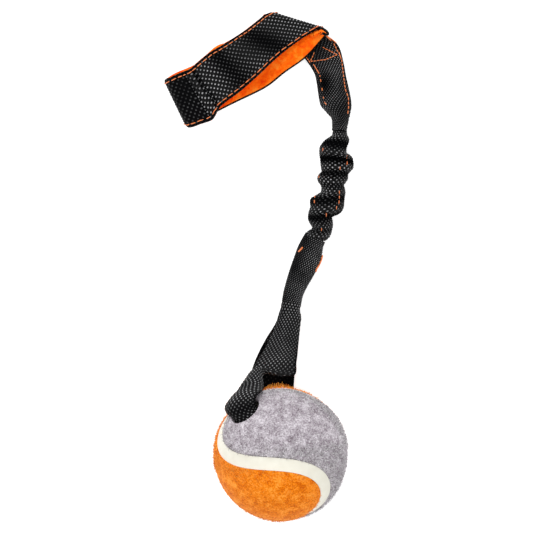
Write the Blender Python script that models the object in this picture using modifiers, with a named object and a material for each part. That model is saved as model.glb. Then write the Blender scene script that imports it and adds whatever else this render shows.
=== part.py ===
"""Bungee tug toy for a dog: a lined hand loop, a ruched elastic sleeve and a felted ball on a strap loop.

Metres, +Z up from the table, +Y towards the hand loop. The toy lies with its hand loop folded over.
"""
import math

import bmesh
import bpy
import numpy as np
from mathutils import Vector

# Overall size: every place table below is in shares of this length.
TOY_LENGTH = 0.2475

# Ball
BALL_DIAMETER = 0.0650
FELT_THICKNESS = 0.0027
RUBBER_WALL = 0.0035
BORE_DIAMETER = 0.0160
SEAM_WIDTH = 0.0062
SEAM_THICKNESS = 0.0026
SEAM_WAVE_SHARE = 0.1717
BALL_TURNS = (math.radians(-81.59), math.radians(108.63), math.radians(85.42))

# Webbing, lining, thread and elastic
WEBBING_WIDTH = 0.0250
WEBBING_THICKNESS = 0.0016
LINING_THICKNESS = 0.0010
LINING_INSET_SHARE = 0.03
THREAD_DIAMETER = 0.0006
STITCH_INSET = 0.0015
CORE_DIAMETER = 0.0032
SLEEVE_WALL = 0.0012

# Clearances
GAP = 0.0003
LINING_GAP = 0.0006
FELT_SEAT_GAP = 0.0008
FLOOR_GAP = 0.0001
STRAP_GAP = 0.0006

# The strap through the ball
LIP_BEND_RADIUS = 0.0045
LIP_DEPTH = 0.0295
BUNCH_EDGE_SHIFT = 0.0010
HANDLE_RISE = 0.0140
HINGE_GAP_SHARES = (0.0013, 0.0022)
FOLD_FULLNESS = 0.6
NECK_CENTRE = 0.0062

# Derived sizes
BALL_RADIUS = BALL_DIAMETER / 2
CORE_BALL_RADIUS = BALL_RADIUS - FELT_THICKNESS - FELT_SEAT_GAP
BORE_RADIUS = BORE_DIAMETER / 2
STRAP_ORBIT = BALL_RADIUS + STRAP_GAP + WEBBING_THICKNESS / 2
BACK_LEVEL = FLOOR_GAP + WEBBING_THICKNESS / 2
LAYER_STEP = WEBBING_THICKNESS + GAP
FRONT_LEVEL = BACK_LEVEL + LAYER_STEP
FAR_LEVEL = FRONT_LEVEL + LAYER_STEP + GAP
LINING_STEP = WEBBING_THICKNESS / 2 + LINING_GAP + LINING_THICKNESS / 2
NEAR_LEVEL = FAR_LEVEL + LINING_STEP + LINING_THICKNESS + GAP + LINING_STEP
BALL_PLACE = Vector((0.0431, -0.3678, 0)) * TOY_LENGTH + Vector((0, 0, BACK_LEVEL + STRAP_ORBIT))
BORE_AXIS = Vector((-0.554, 0.679, 0.482)).normalized()
FRONT_LIP = Vector((0.248, 0.766, -0.593))
FRONT_LIP = (FRONT_LIP - FRONT_LIP.dot(BORE_AXIS) * BORE_AXIS).normalized()
DOWN = Vector((0, 0, -1))
REAR_LIP = (DOWN - DOWN.dot(BORE_AXIS) * BORE_AXIS).normalized()

for old in list(bpy.data.objects):
    bpy.data.objects.remove(old, do_unlink=True)
toy = bpy.data.collections.new("dog_tug_toy")
cutters = bpy.data.collections.new("cutters")
for group in (toy, cutters):
    bpy.context.scene.collection.children.link(group)
cutters.hide_render = True


def material(name, colour, roughness):
    made = bpy.data.materials.new(name)
    made.use_nodes = True
    shader = made.node_tree.nodes["Principled BSDF"]
    shader.inputs["Base Color"].default_value = (*colour, 1.0)
    shader.inputs["Roughness"].default_value = roughness
    made.diffuse_color = (*colour, 1.0)
    return made


BLACK = (0.018, 0.018, 0.018)
ORANGE = (1.0, 0.14, 0.006)
THREAD = (0.9, 0.22, 0.06)
PIECES = {}


def place(obj, colour, roughness, smooth=True):
    """Give one piece its own material and put it in the toy's collection."""
    obj.data.materials.append(material(obj.name + "_material", colour, roughness))
    if smooth and obj.type == "MESH":
        for face in obj.data.polygons:
            face.use_smooth = True
    toy.objects.link(obj)
    PIECES[obj.name] = obj
    return obj


def unit(rows):
    return rows / np.maximum(np.linalg.norm(rows, axis=-1, keepdims=True), np.finfo(float).tiny)


def eased(rows, steps, where, steady=False):
    """Values of a smooth curve through the rows, paced by the given steps; a steady one never overshoots."""
    knots = np.concatenate([[0.0], np.cumsum(steps)])
    knots = knots / knots[-1]
    slope = np.diff(rows, axis=0) / np.diff(knots)[:, None]
    before, after = slope[:-1], slope[1:]
    left, right = np.diff(knots)[:-1, None], np.diff(knots)[1:, None]
    inner = (before * right + after * left) / (left + right)
    if steady:
        same = before * after > 0
        mean = 2 * before * after / np.where(same, before + after, 1)
        inner = np.where(same, mean, 0.0)
    tangents = np.vstack([slope[:1], inner, slope[-1:]])
    where = np.clip(np.asarray(where, float), 0.0, 1.0)
    cell = np.clip(np.searchsorted(knots, where, side="right") - 1, 0, len(rows) - 2)
    span = (knots[cell + 1] - knots[cell])[..., None]
    part = (where[..., None] - knots[cell][..., None]) / span
    low, high = rows[cell], rows[cell + 1]
    return (low * (2 * part**3 - 3 * part**2 + 1) + high * (3 * part**2 - 2 * part**3)
            + tangents[cell] * span * (part**3 - 2 * part**2 + part)
            + tangents[cell + 1] * span * (part**3 - part**2))


class Strap:
    """A strap surface through stations: its two edges, its middle's bulge and, where given, its outward way."""

    def __init__(self, stations, pace_share=0.010, steady=False):
        self.steady = steady
        self.low = np.array([row[0][:] for row in stations], float)
        self.high = np.array([row[1][:] for row in stations], float)
        bulge = np.array([[row[2]] for row in stations], float)
        centres = (self.low + self.high) / 2
        hops = unit(np.diff(centres, axis=0))
        travel = np.vstack([hops[:1], hops[:-1] + hops[1:], hops[-1:]])
        outs = unit(np.cross(unit(travel), unit(self.high - self.low)))
        for index, row in enumerate(stations):
            if len(row) == 4:
                outs[index] = row[3][:]
        middles = centres + outs * bulge
        self.rows = np.hstack([middles, self.high - self.low, bulge, outs])
        self.steps = np.linalg.norm(np.diff(middles, axis=0), axis=1)
        paces = np.maximum(self.steps, TOY_LENGTH * pace_share)
        self.knots = np.concatenate([[0.0], np.cumsum(self.steps)]) / self.steps.sum()
        self.pace = np.concatenate([[0.0], np.cumsum(paces)]) / paces.sum()

    def bare(self, along, across):
        row = eased(self.rows, self.steps, along, self.steady)
        middle, chord, bulge, out = row[..., :3], row[..., 3:6], row[..., 6:7], row[..., 7:]
        half = np.linalg.norm(chord, axis=-1, keepdims=True) / 2
        side = chord / half / 2
        out = unit(out - side * np.sum(out * side, axis=-1, keepdims=True))
        bulge = np.where(np.abs(bulge) < half / 500, half / 500, bulge)
        angle = 2 * np.arctan(bulge / half)
        radius = half / np.sin(angle)
        swing = 2 * across[..., None] * angle
        return middle + side * radius * np.sin(swing) + out * radius * (np.cos(swing) - 1)

    def normal(self, along, across):
        tiny = 1.0 / 2048
        ahead, behind = np.minimum(along + tiny, 1.0), np.maximum(along - tiny, 0.0)
        right, left = np.minimum(across + tiny, 0.5), np.maximum(across - tiny, -0.5)
        forth = self.bare(ahead, across) - self.bare(behind, across)
        over = self.bare(along, right) - self.bare(along, left)
        return unit(np.cross(unit(forth), unit(over)))

    def at(self, along, across, lift=0.0):
        along = np.interp(np.asarray(along, float), self.pace, self.knots)
        across = np.asarray(across, float)
        return self.bare(along, across) + self.normal(along, across) * lift

    def above(self, x, y, lift):
        """The point of the face that lies over one place of the plan."""
        along, across = np.meshgrid(np.linspace(0, 1, 241), np.linspace(-0.5, 0.5, 81), indexing="ij")
        face = self.at(along, across, lift)
        miss = (face[..., 0] - x) ** 2 + (face[..., 1] - y) ** 2
        return face[np.unravel_index(np.argmin(miss), miss.shape)]


def strap_piece(name, strap, cells, span, width_share, lift, thickness, colour, roughness):
    """One strap or lining piece: a grid laid on the strap surface and given its thickness."""
    shape = bmesh.new()
    bmesh.ops.create_grid(shape, x_segments=cells[0], y_segments=cells[1], size=1.0)
    places = np.array([vert.co[:] for vert in shape.verts])
    along = span[0] + (span[1] - span[0]) * (places[:, 0] + 1) / 2
    across = places[:, 1] / 2 * width_share
    for vert, spot in zip(shape.verts, strap.at(along, across, lift)):
        vert.co = spot
    mesh = bpy.data.meshes.new(name)
    shape.to_mesh(mesh)
    shape.free()
    obj = bpy.data.objects.new(name, mesh)
    thick = obj.modifiers.new("thickness", "SOLIDIFY")
    thick.thickness = thickness
    thick.offset = 0.0
    thick.use_even_offset = True
    return place(obj, colour, roughness)


def thread_piece(name, points, colour=THREAD, diameter=THREAD_DIAMETER, sides=1):
    """One sewn thread: a round cord along its route."""
    curve = bpy.data.curves.new(name, "CURVE")
    curve.dimensions = "3D"
    curve.bevel_depth = diameter / 2
    curve.bevel_resolution = sides
    curve.use_fill_caps = True
    line = curve.splines.new("POLY")
    line.points.add(len(points) - 1)
    for spot, point in zip(line.points, points):
        spot.co = (*point, 1.0)
    return place(bpy.data.objects.new(name, curve), colour, 0.6)


def level(share_row, height):
    """A plan place in shares of the toy's length, at a height."""
    return Vector((share_row[0] * TOY_LENGTH, share_row[1] * TOY_LENGTH, height))


# Hand loop: near run, end roll and far run, as the two edges of one band.
NEAR_MID = (NEAR_LEVEL + HANDLE_RISE) / 2
FAR_MID = (FAR_LEVEL + BACK_LEVEL) / 2
ROLL_RADIUS = (HANDLE_RISE - BACK_LEVEL) / 2
NEAR_TABLE_SHARES = (
    (0.0106, 0.4930, 0.1137, 0.4580, NEAR_LEVEL),
    (-0.0045, 0.4799, 0.0847, 0.4456, NEAR_LEVEL),
    (-0.0310, 0.4597, 0.0415, 0.4133, NEAR_MID),
    (-0.0682, 0.4354, -0.0055, 0.3694, NEAR_MID),
    (-0.1025, 0.4143, -0.0437, 0.3365, HANDLE_RISE),
    (-0.1309, 0.3898, -0.0741, 0.3133, HANDLE_RISE),
    (-0.1472, 0.3815, -0.0907, 0.2869, HANDLE_RISE),
)
ROLL_TABLE_SHARES = ((-0.1605, 0.3762), (-0.1170, 0.2859))
ROLL_LIFT_SHARE, ROLL_SAG_SHARE = 0.0035, 0.0090
FAR_TABLE_SHARES = (
    (-0.1260, 0.3947, -0.0839, 0.3016, BACK_LEVEL),
    (-0.0819, 0.4319, -0.0349, 0.3261, BACK_LEVEL),
    (-0.0506, 0.4407, 0.0141, 0.3506, BACK_LEVEL),
    (-0.0212, 0.4613, 0.0533, 0.3810, FAR_MID),
    (-0.0016, 0.4731, 0.0925, 0.4088, FAR_LEVEL),
    (0.0206, 0.4834, 0.1321, 0.4517, FAR_LEVEL),
)


def band_rows(table):
    return [(level(row[0:2], row[4]), level(row[2:4], row[4]), 0) for row in table]


ROLL_OUT = Vector((-0.905, -0.425, 0))
roll_rows = []
for step in range(7):
    turn = math.pi * step / 6
    rise = BACK_LEVEL + ROLL_RADIUS * (1 + math.cos(turn))
    bulge_out = ROLL_OUT * ROLL_RADIUS * math.sin(turn)
    lifted = Vector((0, max(-math.cos(turn), 0) * ROLL_LIFT_SHARE, 0)) * TOY_LENGTH
    sagged = Vector((0, -max(math.cos(turn), 0) * ROLL_SAG_SHARE, 0)) * TOY_LENGTH
    low, high = [level(share_row, rise) + bulge_out for share_row in ROLL_TABLE_SHARES]
    roll_rows.append((low + lifted, high + sagged, 0))
handle = Strap(band_rows(NEAR_TABLE_SHARES) + roll_rows + band_rows(FAR_TABLE_SHARES), steady=True)
strap_piece("handle_webbing", handle, (56, 3), (0, 1), 1, 0, WEBBING_THICKNESS, BLACK, 0.8)
strap_piece("handle_lining", handle, (56, 3), (0, 1), 1 - LINING_INSET_SHARE, -LINING_STEP,
            LINING_THICKNESS, ORANGE, 0.9)
EDGE_SHARE = 0.5 - STITCH_INSET / WEBBING_WIDTH
THREAD_LIFT = WEBBING_THICKNESS / 2 + GAP + THREAD_DIAMETER / 2
STITCH_SPAN_SHARES = (0.01, 0.43)
rows = np.linspace(*STITCH_SPAN_SHARES, 31)
thread_piece("handle_thread_upper", handle.at(rows, rows * 0 - EDGE_SHARE, THREAD_LIFT))
thread_piece("handle_thread_lower", handle.at(rows, rows * 0 + EDGE_SHARE, THREAD_LIFT))

# Sewn stack and head sleeve: the same band runs on as a front and a back layer.
HEAD_TABLE_SHARES = (
    (0.0200, 0.4844, 0.1336, 0.4521, 0.0),
    (0.0494, 0.4505, 0.1542, 0.4358, 0.0),
    (0.0925, 0.4045, 0.1666, 0.3996, 0.0),
    (0.1121, 0.3702, 0.1728, 0.3633, 0.35),
    (0.1186, 0.3310, 0.1797, 0.3290, 0.55),
    (0.1317, 0.3035, 0.1777, 0.2996, 0.80),
    (0.1464, 0.2663, 0.1699, 0.2663, 1.0),
)
front_rows, back_rows = [], []
NECK_EDGE_GAP = WEBBING_THICKNESS / 2 + GAP
for row in HEAD_TABLE_SHARES:
    low, high, tube = level(row[0:2], 0), level(row[2:4], 0), row[4]
    bulge = (high - low).length / 2 * tube
    front_edge = FRONT_LEVEL + (NECK_CENTRE - FRONT_LEVEL) * tube
    back_edge = BACK_LEVEL + bulge if tube < 0.7 else NECK_CENTRE * tube
    back_edge = min(back_edge, front_edge - LAYER_STEP)
    lift = Vector((0, 0, 1))
    front_rows.append((low + lift * front_edge, high + lift * front_edge, bulge))
    back_rows.append((low + lift * back_edge, high + lift * back_edge, -min(bulge, back_edge - BACK_LEVEL)))
front = Strap(front_rows, steady=True)
back = Strap(back_rows, steady=True)
strap_piece("head_front_webbing", front, (22, 6), (0, 1), 1, 0, WEBBING_THICKNESS, BLACK, 0.8)
strap_piece("head_back_webbing", back, (22, 6), (0, 1), 1, 0, WEBBING_THICKNESS, BLACK, 0.8)
EDGE_SPAN_SHARES = (0.42, 0.93)
rows = np.linspace(*EDGE_SPAN_SHARES, 17)
SLEEVE_EDGE_SHARE = 0.42
thread_piece("head_thread_left", front.at(rows, rows * 0 - SLEEVE_EDGE_SHARE, THREAD_LIFT))
thread_piece("head_thread_right", front.at(rows, rows * 0 + SLEEVE_EDGE_SHARE, THREAD_LIFT))
BOX_ROUTE_SHARES = ((0.1260, 0.4241), (0.1513, 0.4133), (0.1317, 0.4045), (0.1033, 0.3996), (0.1170, 0.3927))
box = []
for begin, end in zip(BOX_ROUTE_SHARES[:-1], BOX_ROUTE_SHARES[1:]):
    for share in (0, 0.25, 0.5, 0.75):
        box.append(level([b + (e - b) * share for b, e in zip(begin, end)], 0))
box.append(level(BOX_ROUTE_SHARES[-1], 0))
thread_piece("box_stitch_thread", [front.above(spot.x, spot.y, THREAD_LIFT) for spot in box])

# The two bends at the diagonal fold: the inner one joins far run and front, the outer one near run and back.
OUTER_OUT_SHARES = ((0.0153, 0.0059), (0.0125, 0.0098))
OUTER_OUT = [level(row, 0) for row in OUTER_OUT_SHARES]
INNER_WAY_SHARES = (0.311, 0.950, 0)
INNER_REACH = (FAR_LEVEL - FRONT_LEVEL) / 2
INNER_OUT = [Vector(INNER_WAY_SHARES) * INNER_REACH] * 2


def fold_rows(start, end, outs, gap_share, fullness):
    """Half a turn from one strap's end to the other's; each selvedge goes out along its own way."""
    made = []
    for step in range(9):
        turn = math.pi * step / 8
        ease = (1 - math.cos(turn)) / 2
        pair = []
        for one, other, out in zip(start, end, outs):
            pair.append(one.lerp(other, ease) + out * max(math.sin(turn), 0) ** fullness
                        + out.normalized() * TOY_LENGTH * gap_share)
        made.append((pair[0], pair[1], 0))
    return made


inner_start = [Vector(handle.low[-1]), Vector(handle.high[-1])]
inner_end = [Vector(front.low[0]), Vector(front.high[0])]
outer_start = [Vector(handle.low[0]), Vector(handle.high[0])]
outer_end = [Vector(back.low[0]), Vector(back.high[0])]
inner_bend = Strap(fold_rows(inner_start, inner_end, INNER_OUT, HINGE_GAP_SHARES[0], 1), 0, True)
outer_bend = Strap(fold_rows(outer_start, outer_end, OUTER_OUT, HINGE_GAP_SHARES[1], FOLD_FULLNESS), 0, True)
strap_piece("fold_inner_webbing", inner_bend, (10, 2), (0, 1), 1, 0, WEBBING_THICKNESS, BLACK, 0.8)
strap_piece("fold_outer_webbing", outer_bend, (12, 2), (0, 1), 1, 0, WEBBING_THICKNESS, BLACK, 0.8)

# Ruched sleeve over its elastic core: centre, half width and half height down its length.
RUCHE_TABLE_SHARES = (
    (0.1576, 0.2604, 0.0161, 0.0165),
    (0.1513, 0.2506, 0.0227, 0.0205),
    (0.1464, 0.2408, 0.0267, 0.0225),
    (0.1474, 0.2281, 0.0274, 0.0228),
    (0.1523, 0.2114, 0.0321, 0.0180),
    (0.1532, 0.1967, 0.0317, 0.0228),
    (0.1458, 0.1811, 0.0290, 0.0187),
    (0.1419, 0.1674, 0.0278, 0.0230),
    (0.1434, 0.1546, 0.0247, 0.0210),
    (0.1356, 0.1429, 0.0286, 0.0228),
    (0.1327, 0.1272, 0.0337, 0.0187),
    (0.1297, 0.1115, 0.0333, 0.0230),
    (0.1229, 0.0958, 0.0274, 0.0180),
    (0.1238, 0.0772, 0.0188, 0.0222),
    (0.1199, 0.0713, 0.0208, 0.0216),
)
ruche_rows = np.array([[*r[:2], 0, *r[2:]] for r in RUCHE_TABLE_SHARES]) * TOY_LENGTH
ruche_rows[:, 2] = NECK_CENTRE
steps = np.linalg.norm(np.diff(ruche_rows[:, :2], axis=0), axis=1)
shape = bmesh.new()
bmesh.ops.create_grid(shape, x_segments=40, y_segments=14, size=1.0)
places = np.array([vert.co[:] for vert in shape.verts])
row = eased(ruche_rows, steps, (places[:, 0] + 1) / 2)
ends = ruche_rows[-1, :3] - ruche_rows[0, :3]
sideways = unit(np.cross(ends, (0, 0, 1)))
turn = -places[:, 1] * math.pi
for vert, spot, angle in zip(shape.verts, row, turn):
    vert.co = spot[:3] + sideways * spot[3] * math.cos(angle) + np.array((0, 0, 1)) * spot[4] * math.sin(angle)
bmesh.ops.remove_doubles(shape, verts=shape.verts, dist=GAP / 10)
bmesh.ops.recalc_face_normals(shape, faces=shape.faces)
mesh = bpy.data.meshes.new("ruched_sleeve")
shape.to_mesh(mesh)
shape.free()
ruche = bpy.data.objects.new("ruched_sleeve", mesh)
thick = ruche.modifiers.new("thickness", "SOLIDIFY")
thick.thickness = SLEEVE_WALL
thick.offset = -1.0
place(ruche, BLACK, 0.8)
CORE_ROUTE_SHARES = ((0.1583, 0.2820), (0.1542, 0.2428), (0.1503, 0.2036), (0.1444, 0.1644), (0.1336, 0.1252),
                     (0.1229, 0.0899), (0.1121, 0.0547), (0.1033, 0.0233))
thread_piece("elastic_core", [level(r, NECK_CENTRE) for r in CORE_ROUTE_SHARES], (0.75, 0.72, 0.66),
             CORE_DIAMETER, 3)

# Foot of the sleeve and neck of the strap loop: an upper and a lower half round the core.
NECK_TABLE_SHARES = (
    (0.1150, 0.0674, 0.0200), (0.1062, 0.0488, 0.0200), (0.1007, 0.0312, 0.0230), (0.0937, 0.0096, 0.0240),
    (0.0843, -0.0120, 0.0222), (0.0749, -0.0335, 0.0191), (0.0674, -0.0551, 0.0170), (0.0641, -0.0727, 0.0166),
)
NECK_TURN_SHARES = (0.0, 0.435, 0.455, 1.0)
neck_points = [level(r[0:2], NECK_CENTRE) for r in NECK_TABLE_SHARES]
neck_rows = {1: [], -1: []}
for index, row in enumerate(NECK_TABLE_SHARES):
    ahead = neck_points[min(index + 1, len(neck_points) - 1)] - neck_points[max(index - 1, 0)]
    side = Vector((-ahead.y, ahead.x, 0)).normalized()
    half = row[2] * TOY_LENGTH
    tall = min(half, NECK_CENTRE - NECK_EDGE_GAP - BACK_LEVEL)
    for face in (1, -1):
        edge = neck_points[index] + Vector((0, 0, face * NECK_EDGE_GAP))
        neck_rows[face].append((edge - side * half * face, edge + side * half * face, tall))
upper_neck, lower_neck = Strap(neck_rows[1]), Strap(neck_rows[-1])
for label, strap in (("front", upper_neck), ("back", lower_neck)):
    strap_piece("foot_%s_webbing" % label, strap, (9, 6), NECK_TURN_SHARES[0:2], 1, 0, WEBBING_THICKNESS,
                BLACK, 0.8)
    strap_piece("neck_%s_webbing" % label, strap, (9, 6), NECK_TURN_SHARES[2:4], 1, 0, WEBBING_THICKNESS,
                BLACK, 0.8)
NECK_SIDE = Vector(upper_neck.high[-1] - upper_neck.low[-1]).normalized()
TACK_ROUTE_SHARES = ((0.0817, 0.0390), (0.0866, 0.0302), (0.0925, 0.0380), (0.0984, 0.0272), (0.1043, 0.0361),
                     (0.1101, 0.0263))
tack = []
for begin, end in zip(TACK_ROUTE_SHARES[:-1], TACK_ROUTE_SHARES[1:]):
    for share in (0, 0.34, 0.67):
        tack.append(level([b + (e - b) * share for b, e in zip(begin, end)], 0))
thread_piece("foot_tack_thread", [upper_neck.above(spot.x, spot.y, THREAD_LIFT) for spot in tack])

# Strap loop through the ball: from the front of the neck, through the bore, and back under the ball.
UP = Vector((0, 0, 1))
BORE_SIDE_FRONT = FRONT_LIP.cross(BORE_AXIS)
BORE_SIDE_REAR = REAR_LIP.cross(BORE_AXIS)
FRONT_LEG_SHARES = (
    (0.0396, -0.0982, 0.0815, -0.0982, 0.0315, 0.0315, 0.0145),
    (0.0333, -0.1197, 0.0801, -0.1209, 0.0420, 0.0420, 0.0121),
    (0.0151, -0.1570, 0.0768, -0.1609, 0.0727, 0.0727, 0.0057),
    (-0.0035, -0.1873, 0.0737, -0.1893, 0.1071, 0.1059, 0.0012),
    (-0.0123, -0.2060, 0.0660, -0.2050, 0.1285, 0.1212, 0.0016),
    (-0.0192, -0.2226, 0.0161, -0.2236, 0.1455, 0.1333, 0.0186),
    (-0.0368, -0.2403, 0.0069, -0.2393, 0.1717, 0.1616, 0.0194),
)
REAR_LEG_SHARES = (
    (0.0210, -0.3275, 0.0036, 0.0500, 0.0, 0.55), (0.0131, -0.2843, 0.0036, 0.0500, 0.0, 0.2),
    (0.0190, -0.2354, 0.0036, 0.0495, 0.0, 0.0), (0.0278, -0.1942, 0.0044, 0.0440, 0.0, 0.0),
    (0.0425, -0.1491, 0.0093, 0.0310, 0.0052, 0.0), (0.0572, -0.1119, 0.0175, 0.0212, 0.0125, 0.0),
)


# Round a mouth: the turn over the lip, how far each edge lies to its side, and the bulge of the back.
FRONT_MOUTH_SHARES = ((0.0, 0.400, 0.300, 0.160), (30.0, 0.400, 0.272, 0.200), (60.0, 0.300, 0.264, 0.264),
                      (90.0, 0.252, 0.252, 0.300))
REAR_MOUTH_SHARES = ((0.0, 0.360, 0.360, 0.088), (30.0, 0.320, 0.320, 0.104), (60.0, 0.272, 0.272, 0.220),
                     (90.0, 0.252, 0.252, 0.280))


def mouth_rows(end, lip, side, shares):
    """Round one mouth of the bore: the strap's edges roll over the lip and its back bulges across the hole."""
    outward = BORE_AXIS * end
    made = []
    for turn, low_share, high_share, bulge_share in shares:
        angle = math.radians(turn)
        out = outward * math.cos(angle) - lip * math.sin(angle)
        chord = (BALL_PLACE + lip * (BUNCH_EDGE_SHIFT + LIP_BEND_RADIUS * (1 - math.sin(angle)))
                 + outward * (LIP_DEPTH + LIP_BEND_RADIUS * math.cos(angle)))
        made.append((chord - side * WEBBING_WIDTH * low_share, chord + side * WEBBING_WIDTH * high_share,
                     WEBBING_WIDTH * bulge_share, out))
    return made


loop_rows = []
NECK_STEP_SHARES = (0.0036, 0.0110)
neck_way = (neck_points[-1] - neck_points[-2]).normalized() * TOY_LENGTH
low, high, tall = Vector(upper_neck.low[-1]), Vector(upper_neck.high[-1]), upper_neck.rows[-1, 6]
for share in NECK_STEP_SHARES:
    loop_rows.append((low + neck_way * share, high + neck_way * share, tall))
front_side = BORE_SIDE_FRONT if BORE_SIDE_FRONT.dot(NECK_SIDE) > 0 else -BORE_SIDE_FRONT
rear_side = BORE_SIDE_REAR if BORE_SIDE_REAR.dot(front_side) > 0 else -BORE_SIDE_REAR
for row in FRONT_LEG_SHARES:
    loop_rows.append((level(row[0:2], row[4] * TOY_LENGTH), level(row[2:4], row[5] * TOY_LENGTH),
                      row[6] * TOY_LENGTH))
loop_rows += mouth_rows(1, FRONT_LIP, front_side, FRONT_MOUTH_SHARES)
for share in (0.62, 0.2, -0.2, -0.62):
    lip = FRONT_LIP.lerp(REAR_LIP, 0.5 - share * 0.8).normalized()
    side = front_side.lerp(rear_side, 0.5 - share * 0.8).normalized()
    half = side * WEBBING_WIDTH * FRONT_MOUTH_SHARES[-1][1]
    chord = BALL_PLACE + lip * BUNCH_EDGE_SHIFT + BORE_AXIS * BALL_RADIUS * share
    loop_rows.append((chord - half, chord + half, WEBBING_WIDTH * FRONT_MOUTH_SHARES[-1][3], -lip))
loop_rows += mouth_rows(-1, REAR_LIP, rear_side, REAR_MOUTH_SHARES)[::-1]
UNDER_SHARES = ((22.0, 0.400, 0.064), (34.0, 0.456, 0.024), (46.0, 0.488, 0.008))
for turn, half_share, bulge_share in UNDER_SHARES:
    angle = math.radians(turn)
    out = -BORE_AXIS * math.cos(angle) + REAR_LIP * math.sin(angle)
    chord, half = BALL_PLACE + out * STRAP_ORBIT, rear_side * WEBBING_WIDTH * half_share
    loop_rows.append((chord - half, chord + half, WEBBING_WIDTH * bulge_share, out))
HALF_WEBBING = WEBBING_WIDTH / 2
under = BALL_PLACE - UP * STRAP_ORBIT
loop_rows.append((under - rear_side * HALF_WEBBING, under + rear_side * HALF_WEBBING, 0, -UP))
for x, y, rise, half, bulge, mix in REAR_LEG_SHARES:
    side = NECK_SIDE.lerp(rear_side, mix).normalized()
    centre = Vector((x, y, rise)) * TOY_LENGTH
    loop_rows.append((centre - side * half * TOY_LENGTH, centre + side * half * TOY_LENGTH, bulge * TOY_LENGTH))
low, high = Vector(lower_neck.high[-1]), Vector(lower_neck.low[-1])
for share in NECK_STEP_SHARES[::-1]:
    loop_rows.append((low + neck_way * share, high + neck_way * share, tall))
loop = Strap(loop_rows, 0.022)
strap_piece("ball_loop_webbing", loop, (84, 6), (0, 1), 1, 0, WEBBING_THICKNESS, BLACK, 0.8)

# Ball: a hollow rubber core, two felt panels and the seam strip between them, all bored through.
turn_a, turn_b, turn_c = BALL_TURNS


def spin(angle):
    return np.array(((math.cos(angle), -math.sin(angle), 0), (math.sin(angle), math.cos(angle), 0), (0, 0, 1)))


def tip(angle):
    return np.array(((1, 0, 0), (0, math.cos(angle), -math.sin(angle)), (0, math.sin(angle), math.cos(angle))))


BALL_SET = spin(turn_a) @ tip(turn_b) @ spin(turn_c)


def seam_line(phase):
    broad, wave = 1 - SEAM_WAVE_SHARE, SEAM_WAVE_SHARE
    return np.stack([broad * np.cos(phase) + wave * np.cos(3 * phase),
                     broad * np.sin(phase) - wave * np.sin(3 * phase),
                     2 * math.sqrt(broad * wave) * np.sin(2 * phase)], axis=-1)


def beside_seam(phase, offset):
    """Directions beside the seam, by a width on the ball's face; positive is on the upper panel's side."""
    tiny = math.radians(0.1)
    line = seam_line(phase)
    travel = unit(seam_line(phase + tiny) - seam_line(phase - tiny))
    across = unit(np.cross(line, travel))
    angle = offset[..., None] / BALL_RADIUS
    return line * np.cos(angle) + across * np.sin(angle)


def finish_ball_piece(name, shape, radius, thickness, colour, roughness):
    """One piece of the ball; a skin gets its thickness towards the ball's centre."""
    if thickness:
        grown = bmesh.ops.extrude_face_region(shape, geom=shape.faces[:], use_keep_orig=True)
        for part in grown["geom"]:
            if isinstance(part, bmesh.types.BMVert):
                part.co *= (radius - thickness) / radius
    bmesh.ops.recalc_face_normals(shape, faces=shape.faces)
    mesh = bpy.data.meshes.new(name)
    shape.to_mesh(mesh)
    shape.free()
    obj = bpy.data.objects.new(name, mesh)
    obj.location = BALL_PLACE
    return place(obj, colour, roughness)


def cutter(name, shape):
    mesh = bpy.data.meshes.new(name)
    shape.to_mesh(mesh)
    shape.free()
    obj = bpy.data.objects.new(name, mesh)
    obj.location = BALL_PLACE
    obj.hide_render = True
    obj.display_type = "WIRE"
    cutters.objects.link(obj)
    return obj


def cut(obj, tool):
    made = obj.modifiers.new("cut_" + tool.name, "BOOLEAN")
    made.operation = "DIFFERENCE"
    made.solver = "EXACT"
    made.object = tool


shape = bmesh.new()
bmesh.ops.create_cone(shape, cap_ends=True, segments=24, radius1=BORE_RADIUS, radius2=BORE_RADIUS,
                      depth=BALL_DIAMETER * 1.5)
bore_cutter = cutter("bore_cutter", shape)
bore_cutter.rotation_mode = "QUATERNION"
bore_cutter.rotation_quaternion = UP.rotation_difference(BORE_AXIS)
shape = bmesh.new()
bmesh.ops.create_uvsphere(shape, u_segments=20, v_segments=10, radius=CORE_BALL_RADIUS - RUBBER_WALL)
hollow_cutter = cutter("hollow_cutter", shape)

shape = bmesh.new()
bmesh.ops.create_uvsphere(shape, u_segments=28, v_segments=14, radius=CORE_BALL_RADIUS)
core = finish_ball_piece("ball_core", shape, CORE_BALL_RADIUS, 0, (0.62, 0.60, 0.55), 0.7)
cut(core, hollow_cutter)
cut(core, bore_cutter)

PANEL_EDGE = SEAM_WIDTH / 2 + GAP
FELTS = (("ball_felt_orange", 1, (0.87, 0.22, 0.015)), ("ball_felt_grey", -1, (0.42, 0.39, 0.43)))
for name, pole, colour in FELTS:
    shape = bmesh.new()
    bmesh.ops.create_grid(shape, x_segments=56, y_segments=7, size=1.0)
    for vert in shape.verts:
        phase = np.array(math.pi * (vert.co.x + 1))
        reach = (vert.co.y + 1) / 2
        rim = beside_seam(phase, np.array(pole * PANEL_EDGE))
        middle = np.array((0.0, 0.0, pole))
        spread = math.acos(np.clip(rim @ middle, -1, 1))
        spot = (middle * math.sin((1 - reach) * spread) + rim * math.sin(reach * spread)) / math.sin(spread)
        vert.co = Vector(BALL_SET @ spot * BALL_RADIUS)
    bmesh.ops.remove_doubles(shape, verts=shape.verts, dist=GAP / 10)
    panel = finish_ball_piece(name, shape, BALL_RADIUS, FELT_THICKNESS, colour, 0.95)
    cut(panel, bore_cutter)

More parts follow.
